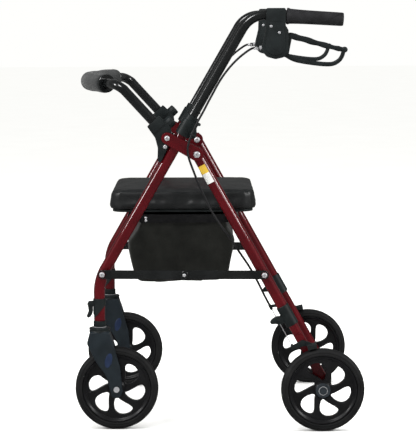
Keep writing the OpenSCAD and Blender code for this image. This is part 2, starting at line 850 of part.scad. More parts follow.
// Loops round a crossbar, each with a short strap to the bag, which lies towards +Y for 1 and -Y for -1
module bag_loops(bar, towards_bag) {
    near = bar[0] + towards_bag * (slider_r + 1);
    far = bar[0] + towards_bag * 17.5;
    for (span = loop_spans) {
        difference() {
            pin(bar, slider_r + bag_wall, span[0], span[1]);
            pin(bar, slider_r + running, span[0] - 1, span[1] + 1);
        }
        translate([span[0], min(near, far), crossbar_z - 4])
            cube([span[1] - span[0], abs(far - near), bag_wall]);
    }
}

// ---------------------------------------------------------------- nodes

front_leg(1);  // front_leg_left
front_leg(-1);  // front_leg_right
front_crossbar();
hinge_plates(1);  // hinge_plates_left
hinge_plates(-1);  // hinge_plates_right
hinge_bolts();
frame_clamps();
backrest_sockets();
bag();
brake_cable(1);  // brake_cable_left
brake_cable(-1);  // brake_cable_right
rear_leg(1);  // rear_leg_left
rear_leg(-1);  // rear_leg_right
rear_crossbar();
rear_leg_clamps();
link_front(1);  // link_front_left
link_front(-1);  // link_front_right
link_rear(1);  // link_rear_left
link_rear(-1);  // link_rear_right
handle_lever(1);  // handle_lever_left
handle_lever(-1);  // handle_lever_right
front_clamp_lever(1);  // front_clamp_lever_left
front_clamp_lever(-1);  // front_clamp_lever_right
rear_clamp_lever(1);  // rear_clamp_lever_left
rear_clamp_lever(-1);  // rear_clamp_lever_right
backrest_knob(1);  // backrest_knob_left
backrest_knob(-1);  // backrest_knob_right
front_extension(1);  // front_extension_left
front_extension(-1);  // front_extension_right
caster_fork(1);  // caster_fork_left
caster_fork(-1);  // caster_fork_right
front_axle_bolt(1);  // front_axle_left
front_axle_bolt(-1);  // front_axle_right
front_rim(1);  // front_rim_left
front_rim(-1);  // front_rim_right
front_tyre(1);  // front_tyre_left
front_tyre(-1);  // front_tyre_right
rear_extension(1);  // rear_extension_left
rear_extension(-1);  // rear_extension_right
rear_axle_bolt(1);  // rear_axle_left
rear_axle_bolt(-1);  // rear_axle_right
brake_arm(1);  // brake_arm_left
brake_arm(-1);  // brake_arm_right
rear_rim(1);  // rear_rim_left
rear_rim(-1);  // rear_rim_right
rear_tyre(1);  // rear_tyre_left
rear_tyre(-1);  // rear_tyre_right
handle_tube(1);  // handle_tube_left
handle_tube(-1);  // handle_tube_right
grip(1);  // grip_left
grip(-1);  // grip_right
brake_housing(1);  // brake_housing_left
brake_housing(-1);  // brake_housing_right
brake_lever(1);  // brake_lever_left
brake_lever(-1);  // brake_lever_right
seat_pad();
seat_board();
backrest_tube();
backrest_foam();
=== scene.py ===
import json
import math
from contextlib import contextmanager

import bmesh
import bpy
from mathutils import Matrix, Vector, noise


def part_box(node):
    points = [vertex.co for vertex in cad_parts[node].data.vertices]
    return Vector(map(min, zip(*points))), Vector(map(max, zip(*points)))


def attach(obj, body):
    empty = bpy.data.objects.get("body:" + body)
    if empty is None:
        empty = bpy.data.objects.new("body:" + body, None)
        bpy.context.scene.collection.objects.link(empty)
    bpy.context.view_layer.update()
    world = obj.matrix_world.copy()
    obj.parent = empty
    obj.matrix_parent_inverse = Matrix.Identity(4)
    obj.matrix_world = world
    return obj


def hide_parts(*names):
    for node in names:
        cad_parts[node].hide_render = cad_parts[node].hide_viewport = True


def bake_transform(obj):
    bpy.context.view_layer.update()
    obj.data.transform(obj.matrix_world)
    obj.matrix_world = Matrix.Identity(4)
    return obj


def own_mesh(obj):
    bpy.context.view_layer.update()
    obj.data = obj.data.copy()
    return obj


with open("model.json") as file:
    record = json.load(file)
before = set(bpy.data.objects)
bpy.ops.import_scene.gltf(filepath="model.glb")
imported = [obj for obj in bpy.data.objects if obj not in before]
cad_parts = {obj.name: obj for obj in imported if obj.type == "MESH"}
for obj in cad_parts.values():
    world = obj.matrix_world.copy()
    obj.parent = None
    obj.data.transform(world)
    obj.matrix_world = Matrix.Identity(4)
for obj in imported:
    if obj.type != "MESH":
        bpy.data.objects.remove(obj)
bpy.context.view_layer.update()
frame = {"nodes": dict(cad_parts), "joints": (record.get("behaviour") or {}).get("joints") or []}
nodes = frame["nodes"]
joints = {j["name"]: j for j in frame["joints"]}
SIDES = (("left", 1), ("right", -1))

# the side frames, in metres, from the middle of the walker and from the floor
LEG_X = 0.247
LEG_R = 0.0127
HINGE = Vector((0, -0.049, 0.630))
REAR_LEAN = math.radians(29)
REAR_DOWN = Vector((0, math.sin(REAR_LEAN), -math.cos(REAR_LEAN)))
REAR_OUT = Vector((0, math.cos(REAR_LEAN), math.sin(REAR_LEAN)))
FRONT_UP = Vector((0, 0.5, math.sqrt(0.75)))
X, Z = Vector((1, 0, 0)), Vector((0, 0, 1))


def joint_at(name):
    """The place of a joint, in metres."""
    return Vector(joints[name]["pos_m"])


# ---------------------------------------------------------------- node materials

class Mat:
    """A Principled material with helpers for procedural colour, roughness and bump."""

    def __init__(self, name, color, rough, metallic=0.0, coat=0.0, coat_rough=0.05, sheen=0.0, level=0.5):
        self.m = bpy.data.materials.new(name)
        self.m.use_nodes = True
        self.t = self.m.node_tree
        self.p = self.t.nodes["Principled BSDF"]
        self.p.inputs["Base Color"].default_value = (*color, 1)
        self.p.inputs["Roughness"].default_value = rough
        self.p.inputs["Metallic"].default_value = metallic
        self.p.inputs["Coat Weight"].default_value = coat
        self.p.inputs["Coat Roughness"].default_value = coat_rough
        self.p.inputs["Sheen Weight"].default_value = sheen
        self.p.inputs["Sheen Roughness"].default_value = 0.4
        self.p.inputs["IOR"].default_value = 1.5
        self.p.inputs["Specular IOR Level"].default_value = level
        self.coord = self.t.nodes.new("ShaderNodeTexCoord")
        self.height = None

    def node(self, kind, **values):
        """A shader node, with its inputs and settings by name."""
        n = self.t.nodes.new(kind)
        for k, v in values.items():
            if k in n.inputs:
                n.inputs[k].default_value = v
            else:
                setattr(n, k, v)
        return n

    def link(self, a, b):
        self.t.links.new(a, b)

    def noise(self, scale, detail=3.0, rough=0.5):
        """Noise in the object's own coordinates."""
        n = self.node("ShaderNodeTexNoise", Scale=scale, Detail=detail, Roughness=rough)
        self.link(self.coord.outputs["Object"], n.inputs["Vector"])
        return n.outputs["Fac"]

    def cells(self, scale, feature="F1"):
        """A cell pattern in the object's own coordinates."""
        n = self.node("ShaderNodeTexVoronoi", Scale=scale)
        n.feature = feature
        self.link(self.coord.outputs["Object"], n.inputs["Vector"])
        return n.outputs["Distance"]

    def flaked(self, fine, broad):
        """Pearl flakes mixed with a slow change of tone."""
        flakes = self.math("MULTIPLY", self.noise(fine, 1, 0.4), 0.55)
        return self.math("ADD", flakes, self.math("MULTIPLY", self.noise(broad, 2), 0.45))

    def math(self, op, a, b):
        n = self.node("ShaderNodeMath")
        n.operation = op
        for i, v in enumerate((a, b)):
            if isinstance(v, (int, float)):
                n.inputs[i].default_value = v
            else:
                self.link(v, n.inputs[i])
        return n.outputs[0]

    def ramp(self, fac, stops):
        n = self.node("ShaderNodeValToRGB")
        r = n.color_ramp
        while len(r.elements) < len(stops):
            r.elements.new(0.5)
        for e, (pos, col) in zip(r.elements, stops):
            e.position = pos
            e.color = (*col, 1)
        self.link(fac, n.inputs["Fac"])
        return n.outputs["Color"]

    def color(self, fac, stops):
        self.link(self.ramp(fac, stops), self.p.inputs["Base Color"])

    def rough(self, fac, low, high):
        n = self.node("ShaderNodeMapRange")
        n.inputs["To Min"].default_value = low
        n.inputs["To Max"].default_value = high
        self.link(fac, n.inputs["Value"])
        self.link(n.outputs["Result"], self.p.inputs["Roughness"])

    def bump(self, fac, strength, distance):
        b = self.node("ShaderNodeBump", Strength=strength, Distance=distance)
        self.link(fac, b.inputs["Height"])
        if self.height is not None:
            self.link(self.height, b.inputs["Normal"])
        self.height = b.outputs["Normal"]
        self.link(self.height, self.p.inputs["Normal"])


MATS = {}


def surface(key, name, color, rough, tone, stops, gloss, rough_range, bumps, **shine):
    """A material: tone noise and its colours, gloss noise and its roughness, and bumps of fine texture."""
    m = Mat(name, color, rough, **shine)
    m.color(m.flaked(*tone[1:]) if tone[0] == "flakes" else m.noise(*tone), stops)
    m.rough(m.noise(*gloss), *rough_range)
    for texture, strength, depth in bumps:
        m.bump(m.cells(*texture[1:]) if texture[0] == "cells" else m.noise(*texture), strength, depth)
    MATS[key] = m.m


surface("red", "burgundy_pearl", (0.09, 0.005, 0.011), 0.34, ("flakes", 2600, 14),
        [(0.3, (0.036, 0.0006, 0.0020)), (0.52, (0.070, 0.0011, 0.0036)), (0.75, (0.125, 0.0028, 0.0066))],
        (60, 4), (0.30, 0.46), [((400, 2), 0.02, 0.0002)],
        metallic=0.25, coat=0.7, coat_rough=0.03, level=0.1)
surface("black_gloss", "black_gloss_paint", (0.006, 0.006, 0.007), 0.2, (22, 3),
        [(0.35, (0.0025, 0.0030, 0.0032)), (0.7, (0.0060, 0.0070, 0.0072))],
        (70, 4), (0.16, 0.32), [((300, 2), 0.02, 0.0002)], coat=0.8, coat_rough=0.06, level=0.35)
surface("plastic", "charcoal_plastic", (0.010, 0.014, 0.015), 0.42, (35, 4),
        [(0.3, (0.0045, 0.0068, 0.0072)), (0.75, (0.0095, 0.0135, 0.0142))],
        (55, 4), (0.34, 0.54), [((2200, 2), 0.16, 0.00015)], level=0.3)
surface("fork", "fork_plastic", (0.011, 0.017, 0.022), 0.36, (30, 4),
        [(0.3, (0.0055, 0.0090, 0.0120)), (0.75, (0.0105, 0.0165, 0.0215))],
        (55, 4), (0.28, 0.46), [((2000, 2), 0.12, 0.00015)], level=0.35)
surface("rim", "wheel_plastic", (0.008, 0.008, 0.009), 0.28, (30, 4),
        [(0.3, (0.003, 0.003, 0.0035)), (0.75, (0.007, 0.007, 0.008))],
        (45, 4), (0.2, 0.42), [((1500, 2), 0.1, 0.00015)], level=0.35)
surface("hub", "hub_grey", (0.030, 0.042, 0.050), 0.4, (60, 3),
        [(0.3, (0.010, 0.014, 0.018)), (0.75, (0.018, 0.024, 0.030))],
        (80, 4), (0.32, 0.5), [((1500, 2), 0.1, 0.00015)], level=0.35)
surface("tyre", "tyre_rubber", (0.012, 0.012, 0.013), 0.6, (18, 5, 0.6),
        [(0.35, (0.0045, 0.0045, 0.005)), (0.62, (0.008, 0.008, 0.0085)), (0.85, (0.018, 0.018, 0.017))],
        (40, 4), (0.45, 0.75), [((1300, 3), 0.22, 0.0003)], level=0.25)
surface("grip", "grip_rubber", (0.010, 0.010, 0.011), 0.55, (40, 4),
        [(0.3, (0.007, 0.007, 0.008)), (0.75, (0.016, 0.016, 0.018))],
        (60, 4), (0.42, 0.66), [((1700, 2), 0.25, 0.0002)], level=0.25)
surface("foam", "foam", (0.022, 0.024, 0.026), 0.95, (160, 4, 0.7),
        [(0.3, (0.008, 0.009, 0.009)), (0.55, (0.012, 0.013, 0.0135)), (0.8, (0.022, 0.024, 0.025))],
        (90, 3), (0.85, 1.0), [(("cells", 900), 0.5, 0.0004), ((120, 3), 0.2, 0.0008)], sheen=0.15, level=0.2)
surface("vinyl", "vinyl", (0.010, 0.010, 0.011), 0.36, (26, 4),
        [(0.3, (0.0045, 0.0052, 0.0056)), (0.75, (0.0095, 0.0105, 0.0110))],
        (38, 5), (0.30, 0.5), [(("cells", 620, "DISTANCE_TO_EDGE"), 0.25, 0.0003), ((900, 3), 0.15, 0.0002)],
        coat=0.15, coat_rough=0.25, level=0.35)
surface("nylon", "nylon", (0.0125, 0.0128, 0.0105), 0.62, (16, 5, 0.6),
        [(0.3, (0.0050, 0.0054, 0.0044)), (0.52, (0.0085, 0.0090, 0.0074)), (0.75, (0.0135, 0.0140, 0.0118))],
        (40, 4), (0.5, 0.75), [((1400, 2), 0.3, 0.0003), ((55, 4, 0.6), 0.5, 0.0018)], sheen=0.12, level=0.15)
surface("webbing", "webbing", (0.005, 0.005, 0.0055), 0.7, (120, 4),
        [(0.3, (0.0035, 0.0035, 0.004)), (0.75, (0.0075, 0.0075, 0.008))],
        (60, 4), (0.6, 0.85), [((900, 3), 0.3, 0.0003)], sheen=0.05, level=0.1)
surface("steel", "zinc_steel", (0.72, 0.72, 0.74), 0.4, (90, 4),
        [(0.3, (0.62, 0.62, 0.64)), (0.75, (0.80, 0.80, 0.82))],
        (120, 4), (0.32, 0.5), [((1200, 2), 0.08, 0.0001)], metallic=0.75)
surface("casing", "cable_casing", (0.009, 0.009, 0.010), 0.38, (60, 3),
        [(0.3, (0.007, 0.007, 0.008)), (0.75, (0.014, 0.014, 0.015))],
        (80, 3), (0.3, 0.5), [((900, 2), 0.1, 0.0001)], level=0.3)
surface("yellow", "label_yellow", (0.80, 0.55, 0.04), 0.4, (80, 3),
        [(0.3, (0.46, 0.29, 0.015)), (0.75, (0.60, 0.40, 0.03))],
        (80, 3), (0.32, 0.5), [((500, 2), 0.05, 0.0001)], coat=0.3)
surface("white", "label_white", (0.75, 0.75, 0.73), 0.4, (80, 3),
        [(0.3, (0.50, 0.50, 0.49)), (0.75, (0.64, 0.64, 0.62))],
        (80, 3), (0.32, 0.5), [((500, 2), 0.05, 0.0001)], coat=0.3)
surface("blue", "blue_inlay", (0.008, 0.020, 0.060), 0.35, (90, 3),
        [(0.3, (0.004, 0.011, 0.036)), (0.75, (0.007, 0.018, 0.055))],
        (80, 3), (0.25, 0.4), [((900, 2), 0.05, 0.0001)], coat=0.2)

# ---------------------------------------------------------------- mesh helpers


def paint(obj, mat):
    """Gives the object one material."""
    obj.data.materials.clear()
    obj.data.materials.append(MATS[mat])


def finish_piece(obj, mat, body, *replaced, slot=None, angle=40):
    """Gives a piece its material, its shading, the body it rides on and the nodes it stands for. The slot
    argument is not used.
    """
    paint(obj, mat)
    for p in obj.data.polygons:
        p.use_smooth = True
    obj.data.set_sharp_from_angle(angle=math.radians(angle))
    if body:
        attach(obj, body)
    if replaced:
        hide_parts(*replaced)
    return obj


def mesh_object(name, verts, faces):
    """A new object from points and faces."""
    mesh = bpy.data.meshes.new(name)
    mesh.from_pydata([tuple(v) for v in verts], [], faces)
    mesh.validate()
    obj = bpy.data.objects.new(name, mesh)
    bpy.context.scene.collection.objects.link(obj)
    return obj


@contextmanager
def editing(mesh):
    """Opens a mesh as a bmesh and writes it back."""
    bm = bmesh.new()
    bm.from_mesh(mesh)
    yield bm
    bm.to_mesh(mesh)
    bm.free()


def fix_normals(obj, weld=None):
    """Turns the faces outwards, after joining points closer than weld."""
    with editing(obj.data) as bm:
        if weld:
            bmesh.ops.remove_doubles(bm, verts=bm.verts, dist=weld)
        bmesh.ops.recalc_face_normals(bm, faces=bm.faces)


def ring_faces(rows, ring, closed=False):
    """Quads between neighbouring rings of points, and from the last ring to the first when closed."""
    return [(i * ring + k, i * ring + (k + 1) % ring, (i + 1) % rows * ring + (k + 1) % ring,
             (i + 1) % rows * ring + k) for i in range(rows if closed else rows - 1) for k in range(ring)]


def grid_faces(rows, cols):
    """Quads of an open sheet whose points come row by row."""
    return [(i * cols + k, i * cols + k + 1, (i + 1) * cols + k + 1, (i + 1) * cols + k)
            for i in range(rows - 1) for k in range(cols - 1)]


def apply_modifiers(obj):
    """Makes the modifiers part of the mesh."""
    deps = bpy.context.evaluated_depsgraph_get()
    deps.update()
    new = bpy.data.meshes.new_from_object(obj.evaluated_get(deps))
    obj.modifiers.clear()
    obj.data = new


def bevelled(obj, width, segments=2, angle=35):
    """Rounds the edges sharper than an angle in degrees."""
    b = obj.modifiers.new("bevel", "BEVEL")
    b.width = width
    b.segments = segments
    b.limit_method = "ANGLE"
    b.angle_limit = math.radians(angle)
    b.use_clamp_overlap = True
    apply_modifiers(obj)


def bevel_copy(node, name, width):
    """A copy of a CAD node's mesh with its flat faces merged and its edges rounded."""
    mesh = nodes[node].data.copy()
    mesh.name = name
    obj = bpy.data.objects.new(name, mesh)
    bpy.context.scene.collection.objects.link(obj)
    with editing(mesh) as bm:
        bmesh.ops.remove_doubles(bm, verts=bm.verts, dist=2e-6)
        bmesh.ops.dissolve_limit(bm, angle_limit=math.radians(1.5), verts=bm.verts, edges=bm.edges)
    bevelled(obj, width)
    return obj


def remeshed(obj, voxel, passes=0):
    """Remakes the mesh in small cells, and smooths it so many times."""
    m = obj.modifiers.new("remesh", "REMESH")
    m.mode = "VOXEL"
    m.voxel_size = voxel
    m.use_smooth_shade = True
    if passes:
        s = obj.modifiers.new("smooth", "SMOOTH")
        s.factor = 0.5
        s.iterations = passes
    apply_modifiers(obj)


def thickened(obj, thickness, offset):
    """Gives a surface a thickness."""
    m = obj.modifiers.new("solid", "SOLIDIFY")
    m.thickness = thickness
    m.offset = offset
    apply_modifiers(obj)


def subdivided(obj):
    """Smooths the mesh with one level of subdivision."""
    m = obj.modifiers.new("sub", "SUBSURF")
    m.levels = m.render_levels = 1
    apply_modifiers(obj)


def frame_of(direction):
    """Axes with z along the direction."""
    hint = Z
    d = Vector(direction).normalized()
    if abs(d.dot(hint)) > 0.95:
        hint = X
    x = hint.cross(d).normalized()
    return Matrix((x, d.cross(x), d)).transposed()


def lathe(name, profile, origin, axis, steps=48, closed=False):
    """Turns a profile of (radius, height) about an axis through origin. Radius 0 at an end closes it."""
    basis = frame_of(axis)
    verts = []
    for r, h in profile:
        for k in range(steps):
            a = 2 * math.pi * k / steps
            verts.append(Vector(origin) + basis @ Vector((r * math.cos(a), r * math.sin(a), h)))
    obj = mesh_object(name, verts, ring_faces(len(profile), steps, closed))
    fix_normals(obj, weld=1e-6)
    return obj


def smooth_path(points, per_span=6):
    """Catmull-Rom curve through the points."""
    pts = [Vector(p) for p in points]
    full = [pts[0] * 2 - pts[1]] + pts + [pts[-1] * 2 - pts[-2]]
    out = []
    for i in range(1, len(full) - 2):
        p0, p1, p2, p3 = full[i - 1:i + 3]
        for k in range(per_span):
            t = k / per_span
            out.append(0.5 * ((2 * p1) + (p2 - p0) * t + (2 * p0 - 5 * p1 + 4 * p2 - p3) * t * t
                              + (3 * p1 - p0 - 3 * p2 + p3) * t * t * t))
    out.append(pts[-1])
    return out


def tube(name, path, radius, sides=12):
    """A closed tube along a path. radius is a number or one number per point."""
    pts = [Vector(p) for p in path]
    n = len(pts)
    radii = [radius] * n if isinstance(radius, (int, float)) else radius
    tangents = [(pts[min(i + 1, n - 1)] - pts[max(i - 1, 0)]).normalized() for i in range(n)]
    hint = X if abs(tangents[0].x) < 0.9 else Z
    u = (hint - tangents[0] * hint.dot(tangents[0])).normalized()
    verts = []
    for i, t in enumerate(tangents):
        u = (u - t * u.dot(t)).normalized()
        w = t.cross(u)
        for k in range(sides):
            a = 2 * math.pi * k / sides
            verts.append(pts[i] + (u * math.cos(a) + w * math.sin(a)) * radii[i])
    faces = ring_faces(n, sides)
    faces += [tuple(range(sides))[::-1], tuple((n - 1) * sides + k for k in range(sides))]
    obj = mesh_object(name, verts, faces)
    fix_normals(obj)
    return obj


def smooth_line(points, per_span=6):
    """The same curve for (y, z) points."""
    return [(p.y, p.z) for p in smooth_path([Vector((0, y, z)) for y, z in points], per_span)]


def rounded_corners(x0, x1, y0, y1, r, steps):
    """The (x, y) points of a rectangle's four round corners."""
    line = []
    left, right, front, rear = x0 + r, x1 - r, y0 + r, y1 - r
    for cx, cy, a0 in ((right, rear, 0), (left, rear, 90), (left, front, 180), (right, front, 270)):
        for i in range(steps + 1):
            a = math.radians(a0 + 90 * i / steps)
            line.append((cx + r * math.cos(a), cy + r * math.sin(a)))
    return line


def slab(name, outline, x0, x1, bevel=0.0):
    """A plate whose outline is a list of (y, z), from x0 to x1."""
    n = len(outline)
    verts = [(x0, y, z) for y, z in outline] + [(x1, y, z) for y, z in outline]
    faces = [tuple(range(n)), tuple(range(2 * n - 1, n - 1, -1))]
    faces += [(i, (i + 1) % n, n + (i + 1) % n, n + i) for i in range(n)]
    obj = mesh_object(name, verts, faces)
    fix_normals(obj)
    if bevel:
        bevelled(obj, bevel, 2, 30)
    return obj


def join(name, parts):
    """Joins meshes at the origin into one object."""
    bm = bmesh.new()
    for p in parts:
        bm.from_mesh(p.data)
    mesh = bpy.data.meshes.new(name)
    bm.to_mesh(mesh)
    bm.free()
    mats = parts[0].data.materials[:]
    for p in parts:
        bpy.data.objects.remove(p)
    obj = bpy.data.objects.new(name, mesh)
    for m in mats:
        obj.data.materials.append(m)
    bpy.context.scene.collection.objects.link(obj)
    return obj


# ---------------------------------------------------------------- camera, light and floor

CAMERA_LENS = 149.8
CAMERA_AT = Vector((4.39135, -0.04519, 0.94059))
CAMERA_RIGHT = Vector((0.00542, 0.99998, -0.00408))
CAMERA_UP = Vector((-0.11096, 0.00466, 0.99381))
FLOOR_HALF = 30.0


def set_stage():
    """The camera of the photograph, a pale floor, a white backdrop and five soft lights."""
    cam = bpy.data.cameras.new("camera")
    cam.sensor_fit = "VERTICAL"
    cam.sensor_height = 36
    cam.lens = CAMERA_LENS
    cam_obj = bpy.data.objects.new("camera", cam)
    bpy.context.scene.collection.objects.link(cam_obj)
    m = Matrix((CAMERA_RIGHT, CAMERA_UP, CAMERA_RIGHT.cross(CAMERA_UP))).transposed().to_4x4()
    m.translation = CAMERA_AT
    cam_obj.matrix_world = m
    bpy.context.scene.camera = cam_obj

    half = FLOOR_HALF
    floor = mesh_object("floor", [(-half, -half, 0), (half, -half, 0), (half, half, 0), (-half, half, 0)],
                        [(0, 1, 2, 3)])
    m = Mat("floor_white", (0.9, 0.9, 0.89), 0.6, level=0.0)
    m.color(m.noise(3, 2), [(0.3, (0.965, 0.965, 0.955)), (0.7, (0.98, 0.98, 0.97))])
    floor.data.materials.append(m.m)
    floor.visible_glossy = False

    # a white backdrop that shows only dimly in reflections
    world = bpy.data.worlds.new("world")
    bpy.context.scene.world = world
    world.use_nodes = True
    tree = world.node_tree
    room = tree.nodes["Background"]
    room.inputs["Color"].default_value = (1.0, 1.0, 0.99, 1)
    room.inputs["Strength"].default_value = 0.15
    backdrop = tree.nodes.new("ShaderNodeBackground")
    backdrop.inputs["Color"].default_value = (1.0, 1.0, 0.985, 1)
    backdrop.inputs["Strength"].default_value = 1.0
    path = tree.nodes.new("ShaderNodeLightPath")
    mix = tree.nodes.new("ShaderNodeMixShader")
    tree.links.new(path.outputs["Is Glossy Ray"], mix.inputs["Fac"])
    tree.links.new(backdrop.outputs["Background"], mix.inputs[1])
    tree.links.new(room.outputs["Background"], mix.inputs[2])
    tree.links.new(mix.outputs["Shader"], tree.nodes["World Output"].inputs["Surface"])
    bpy.context.scene.view_settings.view_transform = "Standard"

    def area(name, at, target, size, power):
        light = bpy.data.lights.new(name, "AREA")
        light.energy = power
        light.size = size
        o = bpy.data.objects.new(name, light)
        o.location = at
        o.rotation_euler = (Vector(target) - Vector(at)).to_track_quat("-Z", "Y").to_euler()
        bpy.context.scene.collection.objects.link(o)
        return o

    area("key", (2.4, -1.3, 3.0), (0, 0, 0.5), 0.9, 40)
    area("fill", (2.6, 2.6, 1.9), (0, 0, 0.5), 0.8, 14)
    area("top", (-0.2, 0.0, 3.4), (0, 0, 0.4), 2.4, 90).visible_glossy = False
    area("front_line", (1.1, -2.6, 1.75), (0, -0.1, 0.5), 0.5, 26)
    area("rear_line", (1.1, 2.6, 1.75), (0, 0.1, 0.5), 0.5, 26)


set_stage()

# ---------------------------------------------------------------- CAD nodes that stay, with their materials

PLAIN = {
    "front_leg": "red", "rear_leg": "red", "front_extension": "red", "rear_extension": "red",
    "handle_tube": "black_gloss", "front_axle": "steel", "rear_axle": "steel",
}
for base, mat in PLAIN.items():
    for side, _ in SIDES:
        paint(nodes[f"{base}_{side}"], mat)
for name, mat in {"front_crossbar": "red", "rear_crossbar": "red", "backrest_tube": "black_gloss"}.items():
    paint(nodes[name], mat)

# Moulded and cut pieces: the CAD shape with its edges rounded
ROUNDED = {
    "hinge_plates": ("red", "frame", 0.0008),
    "brake_housing": ("plastic", "handle_{}", 0.002),
    "link_front": ("black_gloss", "link_front_{}", 0.0006),
    "link_rear": ("black_gloss", "link_rear_{}", 0.0006),
    "brake_arm": ("plastic", "brake_rocker_{}", 0.0006),
}
for base, (mat, body, width) in ROUNDED.items():
    for side, _ in SIDES:
        piece = bevel_copy(f"{base}_{side}", f"{base}_{side}_moulded", width)
        finish_piece(piece, mat, body.format(side), f"{base}_{side}")
for side, _ in SIDES:
    fork = bevel_copy(f"caster_fork_{side}", f"caster_fork_{side}_moulded", 0.001)
    remeshed(fork, 0.0013, 22)
    finish_piece(fork, "fork", f"caster_{side}", f"caster_fork_{side}", slot="black_plastic", angle=75)
for base, (mat, body, width) in {"backrest_sockets": ("plastic", "frame", 0.0016),
                                 "seat_board": ("plastic", "seat", 0.001)}.items():
    piece = bevel_copy(base, f"{base}_moulded", width)
    finish_piece(piece, mat, body, base)


# ---------------------------------------------------------------- wheels

WHEEL_R = 0.095
HUB_R = 0.0205
SPOKES = 6
WINDOW_PHASE = math.radians(31)
# one window between two spokes: (radius in mm, angle in degrees from the window's inner tip)
WINDOW_LINE = ((20.8, 0), (24, -9), (30, -11.5), (38, -11.5), (50, -7.5), (58.5, 0), (63.0, 9), (64.8, 20),
               (63.4, 30), (59.0, 36.5), (50, 36), (38, 28.5), (28, 16.5), (22.5, 6.5))
PLATE_HALF = 0.0085


def window_plate(centre):
    """The spoked disc of a wheel: a ring from hub to rim with six curved windows through it."""
    inner, outer = HUB_R - 0.004, 0.0735
    ring = [(inner, -PLATE_HALF), (outer, -PLATE_HALF), (outer, PLATE_HALF), (inner, PLATE_HALF)]
    plate = lathe("plate", ring, centre, X, 96, closed=True)
    cutters = []
    for i in range(SPOKES):
        line = []
        for r, deg in WINDOW_LINE + WINDOW_LINE[:1]:
            a = WINDOW_PHASE + 2 * math.pi * i / SPOKES + math.radians(deg)
            line.append((centre.y + r / 1000 * math.cos(a), centre.z + r / 1000 * math.sin(a)))
        cutters.append(slab("window", smooth_line(line, 4)[:-1], centre.x - 0.02, centre.x + 0.02))
    cutter = join("windows", cutters)
    m = plate.modifiers.new("windows", "BOOLEAN")
    m.operation = "DIFFERENCE"
    m.object = cutter
    m.solver = "EXACT"
    apply_modifiers(plate)
    bpy.data.objects.remove(cutter)
    bevelled(plate, 0.0024, 3, 50)
    return plate


def both_sides(half):
    """A profile from its half on one side of the wheel's middle plane, given from its outer end."""
    back = half[-2::-1] if half[-1][1] == 0 else half[::-1]
    return [(r, -h) for r, h in half] + back


def wheel(prefix, side_name, side, bore, cap):
    """A moulded centre, a tyre and, on the rear wheels, a cap over the end of the axle."""
    centre = joint_at(f"{prefix}_wheel_{side_name}_spin")
    body = f"{prefix}_wheel_{side_name}"
    rim_half = [(0.0785, 0.0125), (0.0770, 0.0140), (0.0748, 0.0138), (0.0728, 0.0118), (0.0712, 0.0098),
                (0.0690, 0.0092)]
    hub_half = [(bore, 0.0140), (0.0150, 0.0140), (0.0172, 0.0128), (0.0190, 0.0095),
                (HUB_R + 0.0012, 0.0070)]
    parts = [lathe("rim", both_sides(rim_half), centre, X, 96, closed=True),
             lathe("hub", both_sides(hub_half), centre, X, 64, closed=True), window_plate(centre)]
    rim = join(f"{prefix}_wheel_spokes_{side_name}", parts)
    finish_piece(rim, "rim", body, f"{prefix}_rim_{side_name}", slot="black_plastic", angle=50)

    wall = [(0.0786, 0.0118), (0.0790, 0.0140), (0.0806, 0.0149), (0.0824, 0.0150), (0.0842, 0.0147),
            (0.0851, 0.0140), (0.0857, 0.0145), (0.0876, 0.0143), (0.0900, 0.0132), (0.0922, 0.0113),
            (0.0936, 0.0091), (0.0944, 0.0066), (0.0948, 0.0036)]
    profile = both_sides(wall + [(WHEEL_R, 0.0)])
    tyre = lathe(f"{prefix}_wheel_tyre_{side_name}", profile, centre, X, 128, closed=True)
    finish_piece(tyre, "tyre", body, f"{prefix}_tyre_{side_name}", slot="tyre", angle=50)

    if cap:
        out = centre + Vector((side * 0.0139, 0, 0))
        axle_end = max(abs(end.x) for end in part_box(f"rear_axle_{side_name}"))
        top = axle_end - abs(out.x) + 0.0006
        profile = [(0.0168, 0.0), (0.0168, 0.0022), (0.0158, 0.0034), (0.0120, 0.0038), (0.0098, 0.0036),
                   (0.0092, top - 0.0008), (0.0084, top), (0.0, top)]
        disc = lathe(f"{prefix}_hub_disc_{side_name}", profile, out, (side, 0, 0), 48)
        finish_piece(disc, "hub", body, slot="black_plastic", angle=35)


for side_name, side in SIDES:
    wheel("front", side_name, side, 0.0042, False)
    wheel("rear", side_name, side, 0.0062, True)

# ---------------------------------------------------------------- grips and foam

HANDLE_CORNER = Vector((0, 0.073497, 0.944))
GRIP_SLOPE = math.radians(3.6)
GRIP_START = 0.080
GRIP_LENGTH = 0.128
RIDGE_AT = 0.01525
RIDGE_START = 0.082
RIDGE_LENGTH = 0.040
GRIP_DIR = Vector((0, math.cos(GRIP_SLOPE), -math.sin(GRIP_SLOPE)))


